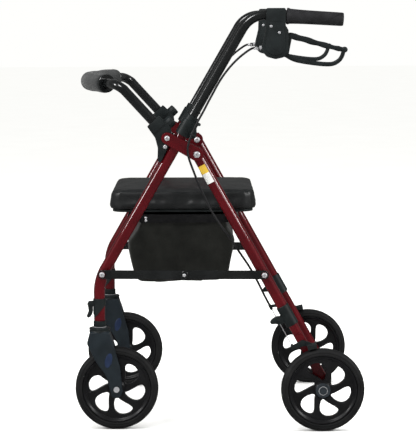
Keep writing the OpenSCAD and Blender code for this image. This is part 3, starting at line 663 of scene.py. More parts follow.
def grip(side_name, side):
    """A tapering rubber grip with a slanting ridge on both sides."""
    x = Vector((side * LEG_X, 0, 0))
    start = HANDLE_CORNER + x + GRIP_DIR * GRIP_START
    profile = [(0.0111, 0.0), (0.0176, 0.0), (0.0184, 0.0009), (0.0186, 0.0032), (0.0181, 0.0052),
               (0.0172, 0.0066), (0.0169, 0.0095), (0.0166, 0.0150), (0.0161, 0.0260), (0.0157, 0.0420),
               (0.0155, 0.0600), (0.0154, 0.0800), (0.0153, 0.1000), (0.0152, 0.1150), (0.0151, 0.1235),
               (0.0146, 0.1262), (0.0134, 0.1276), (0.0105, GRIP_LENGTH), (0.0, GRIP_LENGTH)]
    o = lathe(f"grip_sleeve_{side_name}", profile, start, GRIP_DIR, 56)
    finish_piece(o, "grip", f"handle_{side_name}", f"grip_{side_name}", slot="grip_rubber", angle=50)
    up = Vector((0, math.sin(GRIP_SLOPE), math.cos(GRIP_SLOPE)))
    steps = 24
    for i, flip in enumerate((1, -1)):
        # a slanting ridge across the rear half of the grip
        path = []
        for k in range(steps + 1):
            t = k / steps
            along = RIDGE_START + RIDGE_LENGTH * t
            a = math.radians(-32 + 84 * t)
            path.append(start + GRIP_DIR * along + (X * flip * math.cos(a) + up * math.sin(a)) * RIDGE_AT)
        widths = [0.0009 * math.sin(math.pi * min(1, 0.06 + 0.9 * k / steps)) ** 0.4
                  for k in range(steps + 1)]
        ridge = tube(f"grip_ridge_{side_name}_{i}", path, widths, 8)
        finish_piece(ridge, "grip", f"handle_{side_name}", slot="grip_rubber", angle=60)


for side_name, side in SIDES:
    grip(side_name, side)

BACK_ARC_R = 0.425
BACK_CENTRE = Vector((0, -0.302 + BACK_ARC_R, 0.788))
BACK_HALF_ANGLE = math.asin(0.196 / BACK_ARC_R)
FOAM_R = 0.0215
FOAM_END = 0.0045


def foam_roll():
    """The foam sleeve, bent with the bar, with rounded ends and slight dents."""
    rings, ring = 90, 40

    def at(a, r, k):
        out = Vector((math.sin(a), -math.cos(a), 0))
        c = 2 * math.pi * k / ring
        return BACK_CENTRE + out * BACK_ARC_R + (out * math.cos(c) + Z * math.sin(c)) * r

    ends = [(0.0113, 0.0), (0.0185, 0.0), (0.0205, 0.0012), (FOAM_R, FOAM_END)]
    stations = [(-BACK_HALF_ANGLE + d / BACK_ARC_R, r) for r, d in ends]
    first = -BACK_HALF_ANGLE + FOAM_END / BACK_ARC_R
    for i in range(1, rings):
        a = first + (2 * BACK_HALF_ANGLE - 2 * FOAM_END / BACK_ARC_R) * i / rings
        dent = 0.0004 * math.sin(31 * a) + 0.0005 * math.sin(13 * a + 1)
        stations.append((a, FOAM_R + dent - 0.0004))
    stations += [(BACK_HALF_ANGLE - d / BACK_ARC_R, r) for r, d in reversed(ends)]
    verts = [at(a, r, k) for a, r in stations for k in range(ring)]
    o = mesh_object("backrest_foam_roll", verts, ring_faces(len(stations), ring))
    fix_normals(o)
    return o


foam = foam_roll()
finish_piece(foam, "foam", "backrest", "backrest_foam", slot="foam", angle=50)
for side_name, side in SIDES:
    a = side * (BACK_HALF_ANGLE + 0.0006 / BACK_ARC_R)
    at = BACK_CENTRE + Vector((math.sin(a), -math.cos(a), 0)) * BACK_ARC_R
    along = Vector((math.cos(a), math.sin(a), 0)) * side
    profile = [(0.0116, -0.001), (0.0200, -0.001), (0.0206, 0.0), (0.0206, 0.0016), (0.0198, 0.0024),
               (0.0116, 0.0024)]
    o = lathe(f"foam_end_disc_{side_name}", profile, at, along, 48, closed=True)
    finish_piece(o, "black_gloss", "backrest", slot="black_plastic", angle=35)

# ---------------------------------------------------------------- seat pad

SEAT_LO, SEAT_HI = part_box("seat_pad")
SEAT_CORNER = 0.036
SEAT_CROWN = 0.0030
SEAT_EDGE_DROP = 0.0015
SEAT_CREASE = 0.0018


def seat_block(inset, top_drop):
    """A rounded slab a little smaller than the seat's solid, to be blown up."""
    lo, hi = SEAT_LO, SEAT_HI
    x0, x1 = lo.x + inset, hi.x - inset
    y0, y1 = lo.y + inset, hi.y - inset
    z0, z1 = lo.z + 0.001, hi.z - top_drop
    outline = rounded_corners(x0, x1, y0, y1, SEAT_CORNER - inset * 0.5, 8)
    n = len(outline)
    verts = [(x, y, z0) for x, y in outline] + [(x, y, z1) for x, y in outline]
    faces = [tuple(reversed(range(n))), tuple(range(n, 2 * n))]
    faces += [(i, (i + 1) % n, n + (i + 1) % n, n + i) for i in range(n)]
    o = mesh_object("seat_cushion", verts, faces)
    fix_normals(o)
    return o


def puffed(o, pressure, cap, pinned, frames=20):
    """Blows the mesh up as a sewn cover round foam, and keeps every point within cap of where it was."""
    rest = [v.co.copy() for v in o.data.vertices]
    group = o.vertex_groups.new(name="pin")
    group.add([i for i, p in enumerate(rest) if pinned(p)], 1.0, "REPLACE")
    m = o.modifiers.new("cloth", "CLOTH")
    s = m.settings
    s.quality = 6
    s.mass = 0.3
    s.use_pressure = True
    s.uniform_pressure_force = pressure
    s.effector_weights.gravity = 0
    s.tension_stiffness = s.compression_stiffness = 12
    s.shear_stiffness = 6
    s.bending_stiffness = 0.6
    s.vertex_group_mass = "pin"
    m.point_cache.frame_start, m.point_cache.frame_end = 1, frames
    scene = bpy.context.scene
    for f in range(1, frames + 1):
        scene.frame_set(f)
    apply_modifiers(o)
    for v, r in zip(o.data.vertices, rest):
        d = v.co - r
        if d.length > cap:
            v.co = r + d * (cap / d.length)
    scene.frame_set(1)


def seat_cushion():
    """The padded seat: blown up as cloth, then crowned and creased."""
    o = seat_block(0.0012, 0.0015)
    remeshed(o, 0.006)
    floor_z = SEAT_LO.z + 0.0025
    puffed(o, 2.0, 0.003, lambda p: p.z < floor_z)
    subdivided(o)
    # a crown that drops towards the edge, and creases in the side walls
    lo, hi = SEAT_LO, SEAT_HI
    mid = (lo + hi) / 2
    hx, hy = (hi.x - lo.x) / 2, (hi.y - lo.y) / 2
    for v in o.data.vertices:
        p = v.co
        u, w = (p.x - mid.x) / hx, (p.y - mid.y) / hy
        edge = max(abs(u) ** 3, abs(w) ** 3)
        up = (p.z - lo.z) / (hi.z - lo.z)
        if up > 0.6:
            p.z += SEAT_CROWN * (1 - u * u) * (1 - w * w) - SEAT_EDGE_DROP * edge
        wall = min(1.0, max(0.0, (max(abs(u), abs(w)) - 0.88) / 0.10))
        if wall > 0:
            along = p.x if abs(w) > abs(u) else p.y
            crease = noise.noise(Vector((along * 34, p.z * 60, 1.7)))
            crease += 0.5 * noise.noise(Vector((along * 80, p.z * 25, 5.1)))
            pull = SEAT_CREASE * wall * crease * math.sin(math.pi * min(1.0, max(0.0, up)))
            out = Vector((0, math.copysign(1, w), 0)) if abs(w) > abs(u) else X * math.copysign(1, u)
            p += out * pull
        p.z = max(p.z, lo.z + 0.0003)
    return o


cushion = seat_cushion()
finish_piece(cushion, "vinyl", "seat", "seat_pad", slot="vinyl", angle=180)


def seat_piping(z, inset, name):
    """The sewn edge round the foot of the seat."""
    lo, hi = SEAT_LO, SEAT_HI
    corners = rounded_corners(lo.x + inset, hi.x - inset, lo.y + inset, hi.y - inset, SEAT_CORNER, 8)
    path = [Vector((x, y, z)) for x, y in corners]
    path.append(path[0] + (path[1] - path[0]) * 0.01)
    o = tube(name, path, 0.0016, 8)
    finish_piece(o, "vinyl", "seat", slot="vinyl", angle=60)


seat_piping(SEAT_LO.z + 0.0030, 0.0045, "seat_piping_bottom")

# ---------------------------------------------------------------- bag

BAG_HALF = 0.165
BAG_END_ROUND = 0.004
BAG_SET_IN = 0.0018
BAG_FOLD_OUT = 0.0016
BAG_SIDE_PULL = 0.005
BAG_TOP = 0.4835
BAG_FRONT = [(-0.180, BAG_TOP), (-0.1805, 0.466), (-0.1900, 0.449), (-0.2125, 0.420), (-0.2110, 0.400),
             (-0.2050, 0.376), (-0.1985, 0.352), (-0.1930, 0.3355), (-0.1850, 0.3275), (-0.170, 0.3258)]
BAG_REAR = [(-0.008, 0.3280), (0.005, 0.3287), (0.0185, 0.337), (0.0275, 0.350), (0.0325, 0.385),
            (0.0385, 0.422), (0.0350, 0.437), (0.0255, 0.452), (0.0215, 0.464), (0.020, BAG_TOP)]


def resampled(points, spacing):
    """A line of (u, v) points with its segments cut into equal steps about one spacing long."""
    line = []
    for (u0, v0), (u1, v1) in zip(points, points[1:]):
        steps = max(1, int(math.dist((u0, v0), (u1, v1)) / spacing))
        line += [(u0 + (u1 - u0) * k / steps, v0 + (v1 - v0) * k / steps) for k in range(steps)]
    return line + points[-1:]


def bag_shell():
    """A sagging open bag: a U-shaped band of cloth with two side panels drawn in at their middles."""
    floor = [(-0.170 + 0.162 * i / 12, 0.3258 + 0.0022 * i / 12) for i in range(1, 12)]
    line = resampled(BAG_FRONT + floor + BAG_REAR, 0.006)
    cy, cz = -0.085, 0.42
    nx = 44
    verts = []
    for j in range(nx + 1):
        x = -BAG_HALF + 2 * BAG_HALF * j / nx
        edge = abs(x) / BAG_HALF
        round_off = max(0.0, edge - 0.90) / 0.10
        for y, z in line:
            p = Vector((x, y, z))
            fold = noise.noise(Vector((x * 9, z * 14, y * 9))) * 0.004
            fold += noise.noise(Vector((x * 24, z * 16, y * 24))) * 0.0016
            depth = min(1.0, (BAG_TOP - z) / 0.03)
            out = Vector((0, y - cy, (z - cz) * 0.4)).normalized()
            inwards = BAG_END_ROUND * round_off ** 2 + BAG_SET_IN * depth
            p -= out * inwards - out * min(fold, BAG_FOLD_OUT) * depth
            verts.append(p)
    n = len(line)
    band = mesh_object("band", verts, grid_faces(nx + 1, n))
    # side panels: rows from the front half of the band's end line to its rear half
    panels = []
    for sgn in (-1, 1):
        end = [verts[(0 if sgn < 0 else nx) * n + i] for i in range(n)]
        panel = []
        half_n = n // 2
        left, right = end[:half_n + 1], end[n - 1:n - half_n - 2:-1]
        cols = 40
        for a, b in zip(left, right):
            for c in range(cols + 1):
                t = c / cols
                p = a.lerp(b, t)
                deep = math.sin(math.pi * t)
                drop = min(1.0, max(0.0, (BAG_TOP - p.z) / 0.05))
                ripple = noise.noise(Vector((p.y * 13 + 3.0, p.z * 7.5, 2.0 + sgn))) * 0.0105
                ripple += noise.noise(Vector((p.y * 34, p.z * 12 + p.y * 20, 7.0 + sgn))) * 0.0042
                # soft folds fanning down from the top corners
                fan = math.sin((p.y + 0.085) * 44 + (p.z - 0.4) * 16) * 0.0016
                bulge = -BAG_SIDE_PULL * deep + (ripple + fan) * min(1.0, deep * 2.5) * drop
                p.x = sgn * min(BAG_HALF + 0.008, abs(p.x) + bulge)
                panel.append(p)
        panels.append(mesh_object("panel", panel, grid_faces(len(left), cols + 1)))
    o = join("bag_cloth", [band, *panels])
    fix_normals(o, weld=0.0004)
    thickened(o, 0.0016, -1)
    subdivided(o)
    return o


bag = bag_shell()
finish_piece(bag, "nylon", "frame", "bag", slot="nylon", angle=180)
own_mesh(bag)


STRAP_R = (0.0112, 0.0126)
STRAP_TAIL = 0.0178


def strap_loop(name, bar, towards, x0, x1, body):
    """A flat webbing loop round a crossbar, with its two plies joined in a short tail to the bag."""
    r_in, r_out = STRAP_R
    steps = 28
    outer, inner = [], []
    open_half = math.radians(14)
    base = 0 if towards > 0 else math.pi
    for i in range(steps + 1):
        a = base + open_half + (2 * math.pi - 2 * open_half) * i / steps
        outer.append((bar[0] + r_out * math.cos(a), bar[1] - 0.002 + r_out * math.sin(a)))
        inner.append((bar[0] + r_in * math.cos(a), bar[1] - 0.002 + r_in * math.sin(a)))
    tail = bar[0] + towards * STRAP_TAIL
    low, high = bar[1] - 0.0045, bar[1] - 0.001
    loop = slab(name, outer + inner[::-1], x0, x1)
    end = slab(name + "_tail", [(outer[-1][0], low), (tail, low), (tail, high), (outer[0][0], high)], x0, x1)
    o = join(name, [loop, end])
    bevelled(o, 0.0003, 1)
    finish_piece(o, "webbing", body, slot="nylon", angle=40)


LOOPS = ((-0.165, -0.141), (-0.060, -0.020), (0.020, 0.060), (0.141, 0.165))
FRONT_BAR = (-0.196699, 0.476)
REAR_BAR = (0.036363, 0.476)
for i, (x0, x1) in enumerate(LOOPS):
    strap_loop(f"bag_loop_front_{i}", FRONT_BAR, 1, x0, x1, "frame")
    strap_loop(f"bag_loop_rear_{i}", REAR_BAR, -1, x0, x1, "rear_frame")


def bag_hem():
    """The darker doubled band sewn round the top of the bag."""
    y0, y1, top, low = -0.1815, 0.0215, 0.4842, 0.4655
    x = BAG_HALF + 0.0008
    path = rounded_corners(-x, x, y0, y1, 0.006, 5)
    dense = resampled(path + path[:1], 0.008)[:-1]
    n, rows = len(dense), 5
    verts = []
    for j in range(rows):
        z = top + (low - top) * j / (rows - 1)
        for px, py in dense:
            wave = 0.0005 * math.sin(px * 90 + py * 70 + j)
            verts.append((px + wave, py + wave, z))
    o = mesh_object("bag_hem", verts, ring_faces(rows, n))
    fix_normals(o)
    thickened(o, 0.0022, 0)
    finish_piece(o, "webbing", "frame", slot="nylon", angle=50)
    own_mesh(o)


bag_hem()

# two small snaps one above the other near the front of the hem
SNAP = [(0.0030, 0.0), (0.0030, 0.0008), (0.0022, 0.0015), (0.0, 0.0017)]
for i, z in enumerate((0.4765, 0.4705)):
    for side_name, side in SIDES:
        snap = lathe(f"bag_snap_{side_name}_{i}", SNAP, (side * (BAG_HALF + 0.0018), -0.168, z), X * side, 20)
        finish_piece(snap, "steel", "frame", slot="steel", angle=40)
        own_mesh(snap)

# ---------------------------------------------------------------- brake cables

CABLE_ROUTE = [
    (247, 85, 868), (248, 76, 867), (250, 64, 860), (252, 46, 846), (254, 28, 828), (255, 12, 808),
    (256, -1, 788), (258, -12, 768), (260, -23, 748), (263, -34, 727), (267, -46, 706), (270, -57, 684),
    (271, -66, 662), (271, -70, 642), (270, -67, 622), (267, -58, 596), (263, -45, 562), (258, -31, 531),
    (254, -16, 500), (250, 0, 474), (247, 16, 452), (243, 32, 428), (240, 51, 399), (237, 70, 370),
    (235, 88, 337), (233, 104, 304), (233, 117, 279),
]
CASING_R = 0.0025
SPLIT = 12
BRAKE_PULL = Vector((0, 0.167, 0.188))


def cable(side_name, side):
    """The casing in two spans, one for each joint it crosses, and the bare wire below it."""
    route = [Vector((side * x, y, z)) / 1000 for x, y, z in CABLE_ROUTE]
    upper = tube(f"brake_casing_upper_{side_name}", smooth_path(route[:SPLIT + 1]), CASING_R, 12)
    lower = tube(f"brake_casing_lower_{side_name}", smooth_path(route[SPLIT:]), CASING_R, 12)
    finish_piece(upper, "casing", None, slot="cable", angle=60)
    finish_piece(lower, "casing", None, f"brake_cable_{side_name}", slot="cable", angle=60)
    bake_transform(upper)
    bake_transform(lower)
    top = route[-1]
    end = X * top.x + BRAKE_PULL - REAR_DOWN * 0.008
    wire = tube(f"brake_wire_{side_name}", [top - REAR_DOWN * 0.012, top, top.lerp(end, 0.5), end], 0.0009, 8)
    finish_piece(wire, "steel", f"rear_extension_{side_name}", slot="steel", angle=60)
    # ferrule on the end of the casing
    d = (route[-1] - route[-2]).normalized()
    profile = [(0.0, -0.004), (0.0034, -0.004), (0.0034, 0.006), (0.0028, 0.0075), (0.0016, 0.009),
               (0.0011, 0.009)]
    ferrule = lathe(f"casing_ferrule_{side_name}", profile, top, d, 20)
    finish_piece(ferrule, "plastic", "rear_frame", slot="black_plastic", angle=35)


for side_name, side in SIDES:
    cable(side_name, side)


# ---------------------------------------------------------------- brake levers and housings

HOUSING_HALF = 0.017
HOUSING_PANEL = [(0.1155, 0.925), (0.143, 0.925), (0.1480, 0.905), (0.1500, 0.875), (0.1460, 0.859),
                 (0.1370, 0.8535), (0.1260, 0.8520), (0.1140, 0.8560), (0.1055, 0.8670), (0.1055, 0.8790),
                 (0.1110, 0.9050)]


def bar(name, path, half_h, half_x, x, ring=14, power=0.7):
    """A moulded bar in a side frame's plane: (y, z) points, half heights along them and one half width."""
    pts = [Vector((x, y, z)) for y, z in path]
    n = len(pts)
    verts = []
    for i, p in enumerate(pts):
        t = (pts[min(i + 1, n - 1)] - pts[max(i - 1, 0)]).normalized()
        across = Vector((0, -t.z, t.y))
        for k in range(ring):
            a = 2 * math.pi * k / ring
            c, q = math.cos(a), math.sin(a)
            verts.append(p + across * (half_h[i] * math.copysign(abs(c) ** power, c))
                         + X * (half_x * math.copysign(abs(q) ** power, q)))
    faces = ring_faces(n, ring)
    faces += [tuple(range(ring)), tuple((n - 1) * ring + k for k in reversed(range(ring)))]
    o = mesh_object(name, verts, faces)
    fix_normals(o)
    return o


def lever(side_name, side):
    """The brake's loop: a ribbed upper bar, a lower bar, a deep root and a round tip that joins them."""
    x = side * LEG_X
    upper = smooth_line([(0.146, 0.889), (0.162, 0.8945), (0.178, 0.8915), (0.205, 0.8835), (0.232, 0.8755),
                         (0.258, 0.8685), (0.278, 0.8640)], 8)
    n = len(upper)
    heights = []
    for i in range(n):
        t = i / (n - 1)
        base = 0.0070 + 0.0030 * max(0.0, 1 - t / 0.25) - 0.0016 * t
        heights.append(base + 0.0007 * math.sin(t * 27.0 + 1.2) * (1 if 0.25 < t < 0.95 else 0))
    parts = [bar("u", upper, heights, 0.0056, x)]
    lower = smooth_line([(0.148, 0.856), (0.160, 0.8475), (0.176, 0.8405), (0.205, 0.8350), (0.238, 0.8312),
                         (0.258, 0.8322), (0.272, 0.8405), (0.279, 0.8520), (0.281, 0.8620)], 8)
    m = len(lower)
    parts.append(bar("l", lower, [0.0056 - 0.0010 * i / (m - 1) for i in range(m)], 0.0053, x))
    root = smooth_line([(0.124, 0.868), (0.134, 0.872), (0.146, 0.874), (0.156, 0.873), (0.1615, 0.872)])
    r = len(root)
    depths = [0.008 + 0.0165 * min(1, i / (r - 1) * 1.25) for i in range(r)]
    parts.append(bar("r", root, depths, 0.0060, x, ring=20, power=0.4))
    tip_half = [(0.0, 0.0070), (0.0045, 0.0068), (0.0060, 0.0058), (0.0066, 0.0035)]
    parts.append(lathe("tip", both_sides(tip_half), (x, 0.2838, 0.8635), X, 28))
    o = join(f"brake_lever_loop_{side_name}", parts)
    body = f"brake_lever_{side_name}"
    finish_piece(o, "plastic", body, body, slot="black_plastic", angle=60)


def screw(name, at, axis, r, body):
    """A domed screw head with a small recess."""
    h = r * 0.55
    profile = [(r, 0.0), (r, h * 0.35), (r * 0.93, h * 0.62), (r * 0.72, h * 0.9), (r * 0.5, h),
               (r * 0.42, h), (r * 0.40, h * 0.45), (0.0, h * 0.45)]
    o = lathe(name, profile, at, axis, 24)
    finish_piece(o, "steel", body, slot="steel", angle=40)
    return o


def cheek_name(face, side):
    """Which side of the walker a cheek faces."""
    return "outer" if face * side > 0 else "inner"


def housing_details(side_name, side):
    """Raised panels and screws on both cheeks of the brake housing, and the barrel where the cable leaves."""
    body = f"handle_{side_name}"
    for face in (1, -1):
        fx = side * LEG_X + face * HOUSING_HALF
        line = smooth_line(HOUSING_PANEL + HOUSING_PANEL[:1], 5)[:-1]
        cheek = cheek_name(face, side)
        near, far = sorted((fx - 0.001, fx + face * 0.0016))
        o = slab(f"housing_panel_{side_name}_{cheek}", line, near, far, 0.0010)
        finish_piece(o, "plastic", body, slot="black_plastic", angle=40)
        for i, (y, z) in enumerate(((0.1178, 0.9165), (0.1365, 0.9025))):
            at = (fx + face * 0.0012, y, z)
            screw(f"housing_screw_{side_name}_{cheek[0]}{i}", at, X * face, 0.0030, body)
    d = Vector((0, -1.0, -0.09)).normalized()
    at = Vector((side * LEG_X, 0.0975, 0.8685))
    profile = [(0.0, 0.0), (0.0048, 0.0), (0.0048, 0.0050), (0.0040, 0.0056), (0.0040, 0.0075),
               (0.0046, 0.0080), (0.0046, 0.0110), (0.0036, 0.0120), (0.0030, 0.0125), (0.0030, 0.0170),
               (0.0026, 0.0176), (0.0, 0.0176)]
    o = lathe(f"barrel_adjuster_{side_name}", profile, at, d, 20)
    finish_piece(o, "steel", body, slot="steel", angle=35)


for side_name, side in SIDES:
    lever(side_name, side)
    housing_details(side_name, side)

# ---------------------------------------------------------------- bolts, rivets and clamps

SOCKET_BOLT = Vector((0, -0.116, 0.667))
SOCKET_RIVET = Vector((0, -0.1205, 0.6477))
OUTSIDE_X = 0.4
LINK_ENDS = {"frame": Vector((0, -0.265, 0.359)), "rear_frame": Vector((0, 0.1027, 0.356))}
LINK_MIDDLE = Vector((0, -0.079, 0.357))


def bolts(side_name, side):
    """Domed bolt heads on the hinge plates, and rivet heads on the folding links."""
    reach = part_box("hinge_bolts")[1].x - LEG_X - 0.0035
    for name, at, r in (("hinge", HINGE, 0.0074), ("socket", SOCKET_BOLT, 0.0060)):
        for face in (1, -1):
            head = screw(f"{name}_bolt_{side_name}_{cheek_name(face, 1)}",
                         (side * (LEG_X + face * reach), at.y, at.z), X * side * face, r, "frame")
            if name == "hinge":
                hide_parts("hinge_bolts")
    # a rivet on the face of the socket, wherever that face is
    sockets = bpy.data.objects["backrest_sockets_moulded"]
    at = sockets.ray_cast(X * side * OUTSIDE_X + SOCKET_RIVET, X * -side)[1]
    screw(f"socket_rivet_{side_name}", at, X * side, 0.0045, "frame")
    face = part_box("link_front_left")[1].x
    for body, at in LINK_ENDS.items():
        screw(f"link_rivet_{body}_{side_name}", (side * (face + 0.0004), at.y, at.z), X * side, 0.0060, body)
    screw(f"link_middle_core_{side_name}", (side * (face + 0.0010), LINK_MIDDLE.y, LINK_MIDDLE.z), X * side,
          0.0038, f"link_front_{side_name}")
    profile = [(0.0092, 0.0), (0.0092, 0.0014), (0.0080, 0.0022), (0.0066, 0.0022), (0.0062, 0.0012),
               (0.0, 0.0012)]
    rivet = lathe(f"link_middle_rivet_{side_name}", profile, (side * face, LINK_MIDDLE.y, LINK_MIDDLE.z),
                  X * side, 32)
    finish_piece(rivet, "black_gloss", f"link_front_{side_name}", slot="steel", angle=35)


# Local outlines of the clamp levers in mm: away from the leg, then along it from its end
HANDLE_LEVER = ((13, -36), (22, -35), (28, -30), (29.5, -24), (25.5, -15), (21.5, -8), (21.5, -2),
                (25.5, 0.5), (25, 4.5), (19, 5), (16, 0), (13, -6))
FRONT_LEVER = ((17, -30), (22, -31.5), (26, -29.5), (27, -25), (25.5, -17), (25, -9), (28, -2), (28.8, 3),
               (25, 6), (20.5, 3.5), (17.5, -1), (15.3, -8), (15.3, -20), (15.5, -27))
REAR_LEVER = ((15, -28.5), (18, -32), (23.5, -34.2), (30, -34.5), (38, -33), (42.5, -29.5), (41, -25),
              (34, -21.5), (28, -17), (21, -14.5), (13, -14), (13, -23))
LEVER_AXIS = (0.023, 0.026)
CLAMP_EAR = ((10, -31.5), (21, -31), (26, -29), (27.6, -26), (26, -23), (21, -21), (10, -20.5))
EAR_INNER, EAR_OUTER = 0.0087, 0.0106
PIN_HEAD = [(0.0026, 0.0), (0.0026, 0.0006), (0.0018, 0.0012), (0.0, 0.0013)]
PADDLE_HALF = 0.0082
COLLAR_BORE = 0.0128
# the sloping end of the front collar
CUT_AT = Vector((0, 0.014, 0.023))
CUT_NORMAL = Vector((0, 0.76, -0.65))
CLAMP_R = {"handle": 0.0166, "front": 0.0144, "rear": 0.0147}
CLAMP_LENGTH = {"handle": 0.038, "front": 0.038, "rear": 0.050}


def clamp_slab(name, outline, near, far, place, width, segments):
    """A plate drawn in metres away from the leg and along it, moved to its place and given rounded edges."""
    origin, out, along = place
    o = slab(name, outline, near, far)
    for v in o.data.vertices:
        v.co = origin + X * v.co.x + out * v.co.y + along * v.co.z
    fix_normals(o)
    bevelled(o, width, segments, 40)
    return o


def metres(outline):
    """An outline in millimetres as metres."""
    return [(a / 1000, b / 1000) for a, b in outline]


def clamp(kind, side_name, side, along, out, frame_body, outline):
    """A collar round the end of a leg, and the cam lever that tightens it."""
    pivot = joint_at(f"{kind}_clamp_{side_name}_release")
    origin = Vector((side * LEG_X, pivot.y, pivot.z)) - out * LEVER_AXIS[0] + along * LEVER_AXIS[1]
    place = origin, out, along
    r = CLAMP_R[kind]
    neck = 0.0129 if kind == "front" else 0.0142
    length = CLAMP_LENGTH[kind]
    profile = [(COLLAR_BORE, -length), (r - 0.0008, -length), (r, 0.001 - length), (r, -0.0015),
               (r - 0.0008, -0.0004)]
    if kind == "rear":
        profile += [(COLLAR_BORE, -0.0004)]
    else:
        profile += [(neck, 0.0), (neck, 0.0110), (neck - 0.001, 0.012), (0.0114, 0.012), (0.0114, 0.0004),
                    (COLLAR_BORE, 0.0004)]
    collar = lathe("collar", profile, origin, along, 56, closed=True)
    ears = []
    for face in (-1, 1):
        near, far = sorted((face * EAR_INNER, face * EAR_OUTER))
        ears.append(clamp_slab("ear", metres(CLAMP_EAR), near, far, place, 0.0005, 2))
        pin_at = Vector((side * LEG_X + face * EAR_OUTER, pivot.y, pivot.z))
        ears.append(lathe("pin_head", PIN_HEAD, pin_at, X * face, 20))
    if kind == "front":
        # the collar's lower edge slopes, so the leg shows below it
        with editing(collar.data) as bm:
            cut = bmesh.ops.bisect_plane(bm, geom=bm.verts[:] + bm.edges[:] + bm.faces[:], clear_outer=True,
                                         plane_co=origin + CUT_AT, plane_no=CUT_NORMAL)
            edges = [e for e in cut["geom_cut"] if isinstance(e, bmesh.types.BMEdge)]
            bmesh.ops.triangle_fill(bm, edges=edges, use_beauty=True)
        fix_normals(collar)
        ring = [(LEG_R, -0.002), (0.01275, 0.0116), (0.0122, 0.012), (0.0114, 0.012), (0.0114, -0.002)]
        sleeve = lathe(f"leg_end_ring_{side_name}", ring, origin, along, 48, closed=True)
        finish_piece(sleeve, "red", frame_body, slot="red_paint", angle=35)
    piece = join(f"{kind}_clamp_collar_{side_name}", [collar, *ears])
    finish_piece(piece, "plastic", frame_body, slot="black_plastic", angle=35)
    line = smooth_line(metres(outline + outline[:1]), 3)[:-1]
    paddle = clamp_slab(f"{kind}_clamp_paddle_{side_name}", line, -PADDLE_HALF, PADDLE_HALF, place, 0.0022, 3)
    node = f"{'handle_lever' if kind == 'handle' else kind + '_clamp_lever'}_{side_name}"
    finish_piece(paddle, "plastic", f"{kind}_clamp_lever_{side_name}", node, slot="black_plastic", angle=35)
    return piece


KNOB_AXIS = Vector((0, 0.7373, 0.6756))
KNOB_FLUTES = 12


def knob(side_name):
    """A round knob with grip flutes that holds the backrest tube in its socket."""
    seat = joint_at(f"backrest_knob_{side_name}_turn")
    profile = [(0.0036, 0.0125), (0.0080, 0.0130), (0.0118, 0.0150), (0.0126, 0.0170), (0.0126, 0.0325),
               (0.0114, 0.0345), (0.0060, 0.0352), (0.0, 0.0352)]
    o = lathe(f"backrest_knob_cap_{side_name}", profile, seat, KNOB_AXIS, 72)
    basis = frame_of(KNOB_AXIS)
    for v in o.data.vertices:
        p = basis.transposed() @ (v.co - seat)
        r = math.hypot(p.x, p.y)
        if r > 0.010:
            k = 1 - 0.05 * (0.5 + 0.5 * math.cos(KNOB_FLUTES * math.atan2(p.y, p.x))) ** 2
            v.co = seat + basis @ Vector((p.x * k, p.y * k, p.z))
    body = f"backrest_knob_{side_name}"
    finish_piece(o, "plastic", body, body, slot="black_plastic", angle=35)


for side_name, side in SIDES:
    clamp("handle", side_name, side, FRONT_UP, Vector((0, FRONT_UP.z, -FRONT_UP.y)), "frame", HANDLE_LEVER)
    front_clamp = clamp("front", side_name, side, -Z, Vector((0, -1, 0)), "frame", FRONT_LEVER)
    rear_clamp = clamp("rear", side_name, side, REAR_DOWN, -REAR_OUT, "rear_frame", REAR_LEVER)
    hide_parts("frame_clamps")
    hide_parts("rear_leg_clamps")
    knob(side_name)
for side_name, side in SIDES:
    bolts(side_name, side)

# ---------------------------------------------------------------- small fittings

# the oval inlay: middle and half sizes in the side frame's plane, and its lean
INLAY_AT = (-0.2520, 0.1620)
INLAY_HALF = (0.0080, 0.0170)
INLAY_LEAN = math.radians(-14)
FORK_HALF = 0.0240


def fork_details(side_name, side):
    """Ring on the head of the fork, and a plain oval inlay on each cheek."""
    body = f"caster_{side_name}"
    c = joint_at(f"caster_{side_name}_swivel")
    profile = [(0.0222, -0.0110), (0.0240, -0.0100), (0.0242, -0.0075), (0.0232, -0.0062), (0.0232, -0.0050),
               (0.0242, -0.0038), (0.0242, -0.0012), (0.0232, -0.0002), (0.0150, -0.0001), (0.0150, -0.0110)]
    o = lathe(f"fork_ring_{side_name}", profile, c, Z, 56, closed=True)
    finish_piece(o, "plastic", body, slot="black_plastic", angle=40)
    for face in (1, -1):
        fx = side * LEG_X + face * FORK_HALF
        verts = [(fx + face * 0.0013, *INLAY_AT)]
        rings = ((0.45, 0.0012), (0.82, 0.0009), (1.0, 0.0), (1.0, -0.001))
        steps = 36
        for scale, h in rings:
            for k in range(steps):
                a = 2 * math.pi * k / steps
                u, w = INLAY_HALF[0] * scale * math.cos(a), INLAY_HALF[1] * scale * math.sin(a)
                y = u * math.cos(INLAY_LEAN) - w * math.sin(INLAY_LEAN)
                z = u * math.sin(INLAY_LEAN) + w * math.cos(INLAY_LEAN)
                verts.append((fx + face * h, INLAY_AT[0] + y, INLAY_AT[1] + z))
        faces = [(0, 1 + k, 1 + (k + 1) % steps) for k in range(steps)]
        faces += [tuple(1 + v for v in quad) for quad in ring_faces(len(rings), steps)]
        o = mesh_object(f"fork_inlay_{side_name}_{cheek_name(face, side)}", verts, faces)
        fix_normals(o)
        finish_piece(o, "blue", body, slot="black_plastic", angle=60)


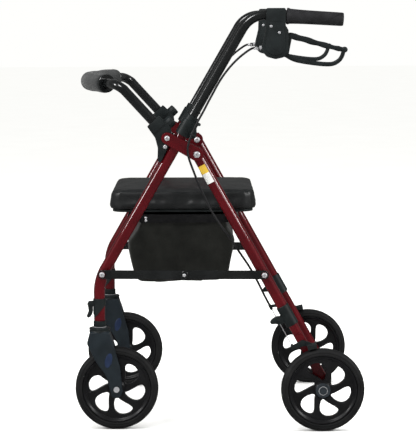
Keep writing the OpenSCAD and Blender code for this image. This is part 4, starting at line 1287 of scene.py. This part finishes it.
def stem_collar(side_name, side):
    """Short black collar and thin steel washer where the front extension enters the fork."""
    c = joint_at(f"caster_{side_name}_swivel")
    at = Vector((side * LEG_X, c.y, 0.236))
    profile = [(0.0123, 0.0016), (0.0138, 0.0016), (0.0142, 0.0026), (0.0142, 0.0135), (0.0134, 0.0145),
               (0.0123, 0.0145)]
    o = lathe(f"stem_collar_{side_name}", profile, at, Z, 48, closed=True)
    finish_piece(o, "plastic", f"front_extension_{side_name}", slot="black_plastic", angle=35)
    profile = [(0.0123, 0.0002), (0.0152, 0.0002), (0.0152, 0.0014), (0.0123, 0.0014)]
    washer = lathe(f"stem_washer_{side_name}", profile, at, Z, 48, closed=True)
    finish_piece(washer, "steel", f"front_extension_{side_name}", slot="steel", angle=35)


# name, material, and start and end down the leg from the hinge
STICKERS = (("sticker_upper", "yellow", 0.027, 0.047), ("sticker_lower", "white", 0.047, 0.072))
CLIP_ROUTE = ((0.233, 0.115, 0.2785), (0.2335, 0.124, 0.2805), (0.2362, 0.1365, 0.2815))


def leg_details(side_name, side):
    """Two-tone sticker on the near rear leg, wrapped on the tube, and the clip that holds the cable."""
    top = HINGE + X * side * LEG_X
    if side > 0:
        for name, mat, t0, t1 in STICKERS:
            verts = []
            cols, rows = 16, 6
            for j in range(rows + 1):
                p = top + REAR_DOWN * (t0 + (t1 - t0) * j / rows)
                for k in range(cols + 1):
                    a = math.radians(-72 + 92 * k / cols)
                    verts.append(p + (X * side * math.cos(a) + REAR_OUT * math.sin(a)) * (LEG_R + 0.00025))
            o = mesh_object(name, verts, grid_faces(rows + 1, cols + 1))
            fix_normals(o)
            thickened(o, 0.0002, 0)
            finish_piece(o, mat, "rear_frame", slot="board", angle=60)
    route = [(side * x, y, z) for x, y, z in CLIP_ROUTE]
    o = tube(f"cable_clip_{side_name}", route, [0.0034, 0.0036, 0.0030], 16)
    finish_piece(o, "plastic", "rear_frame", slot="black_plastic", angle=40)


for side_name, side in SIDES:
    fork_details(side_name, side)
    stem_collar(side_name, side)
    leg_details(side_name, side)

bpy.context.view_layer.update()
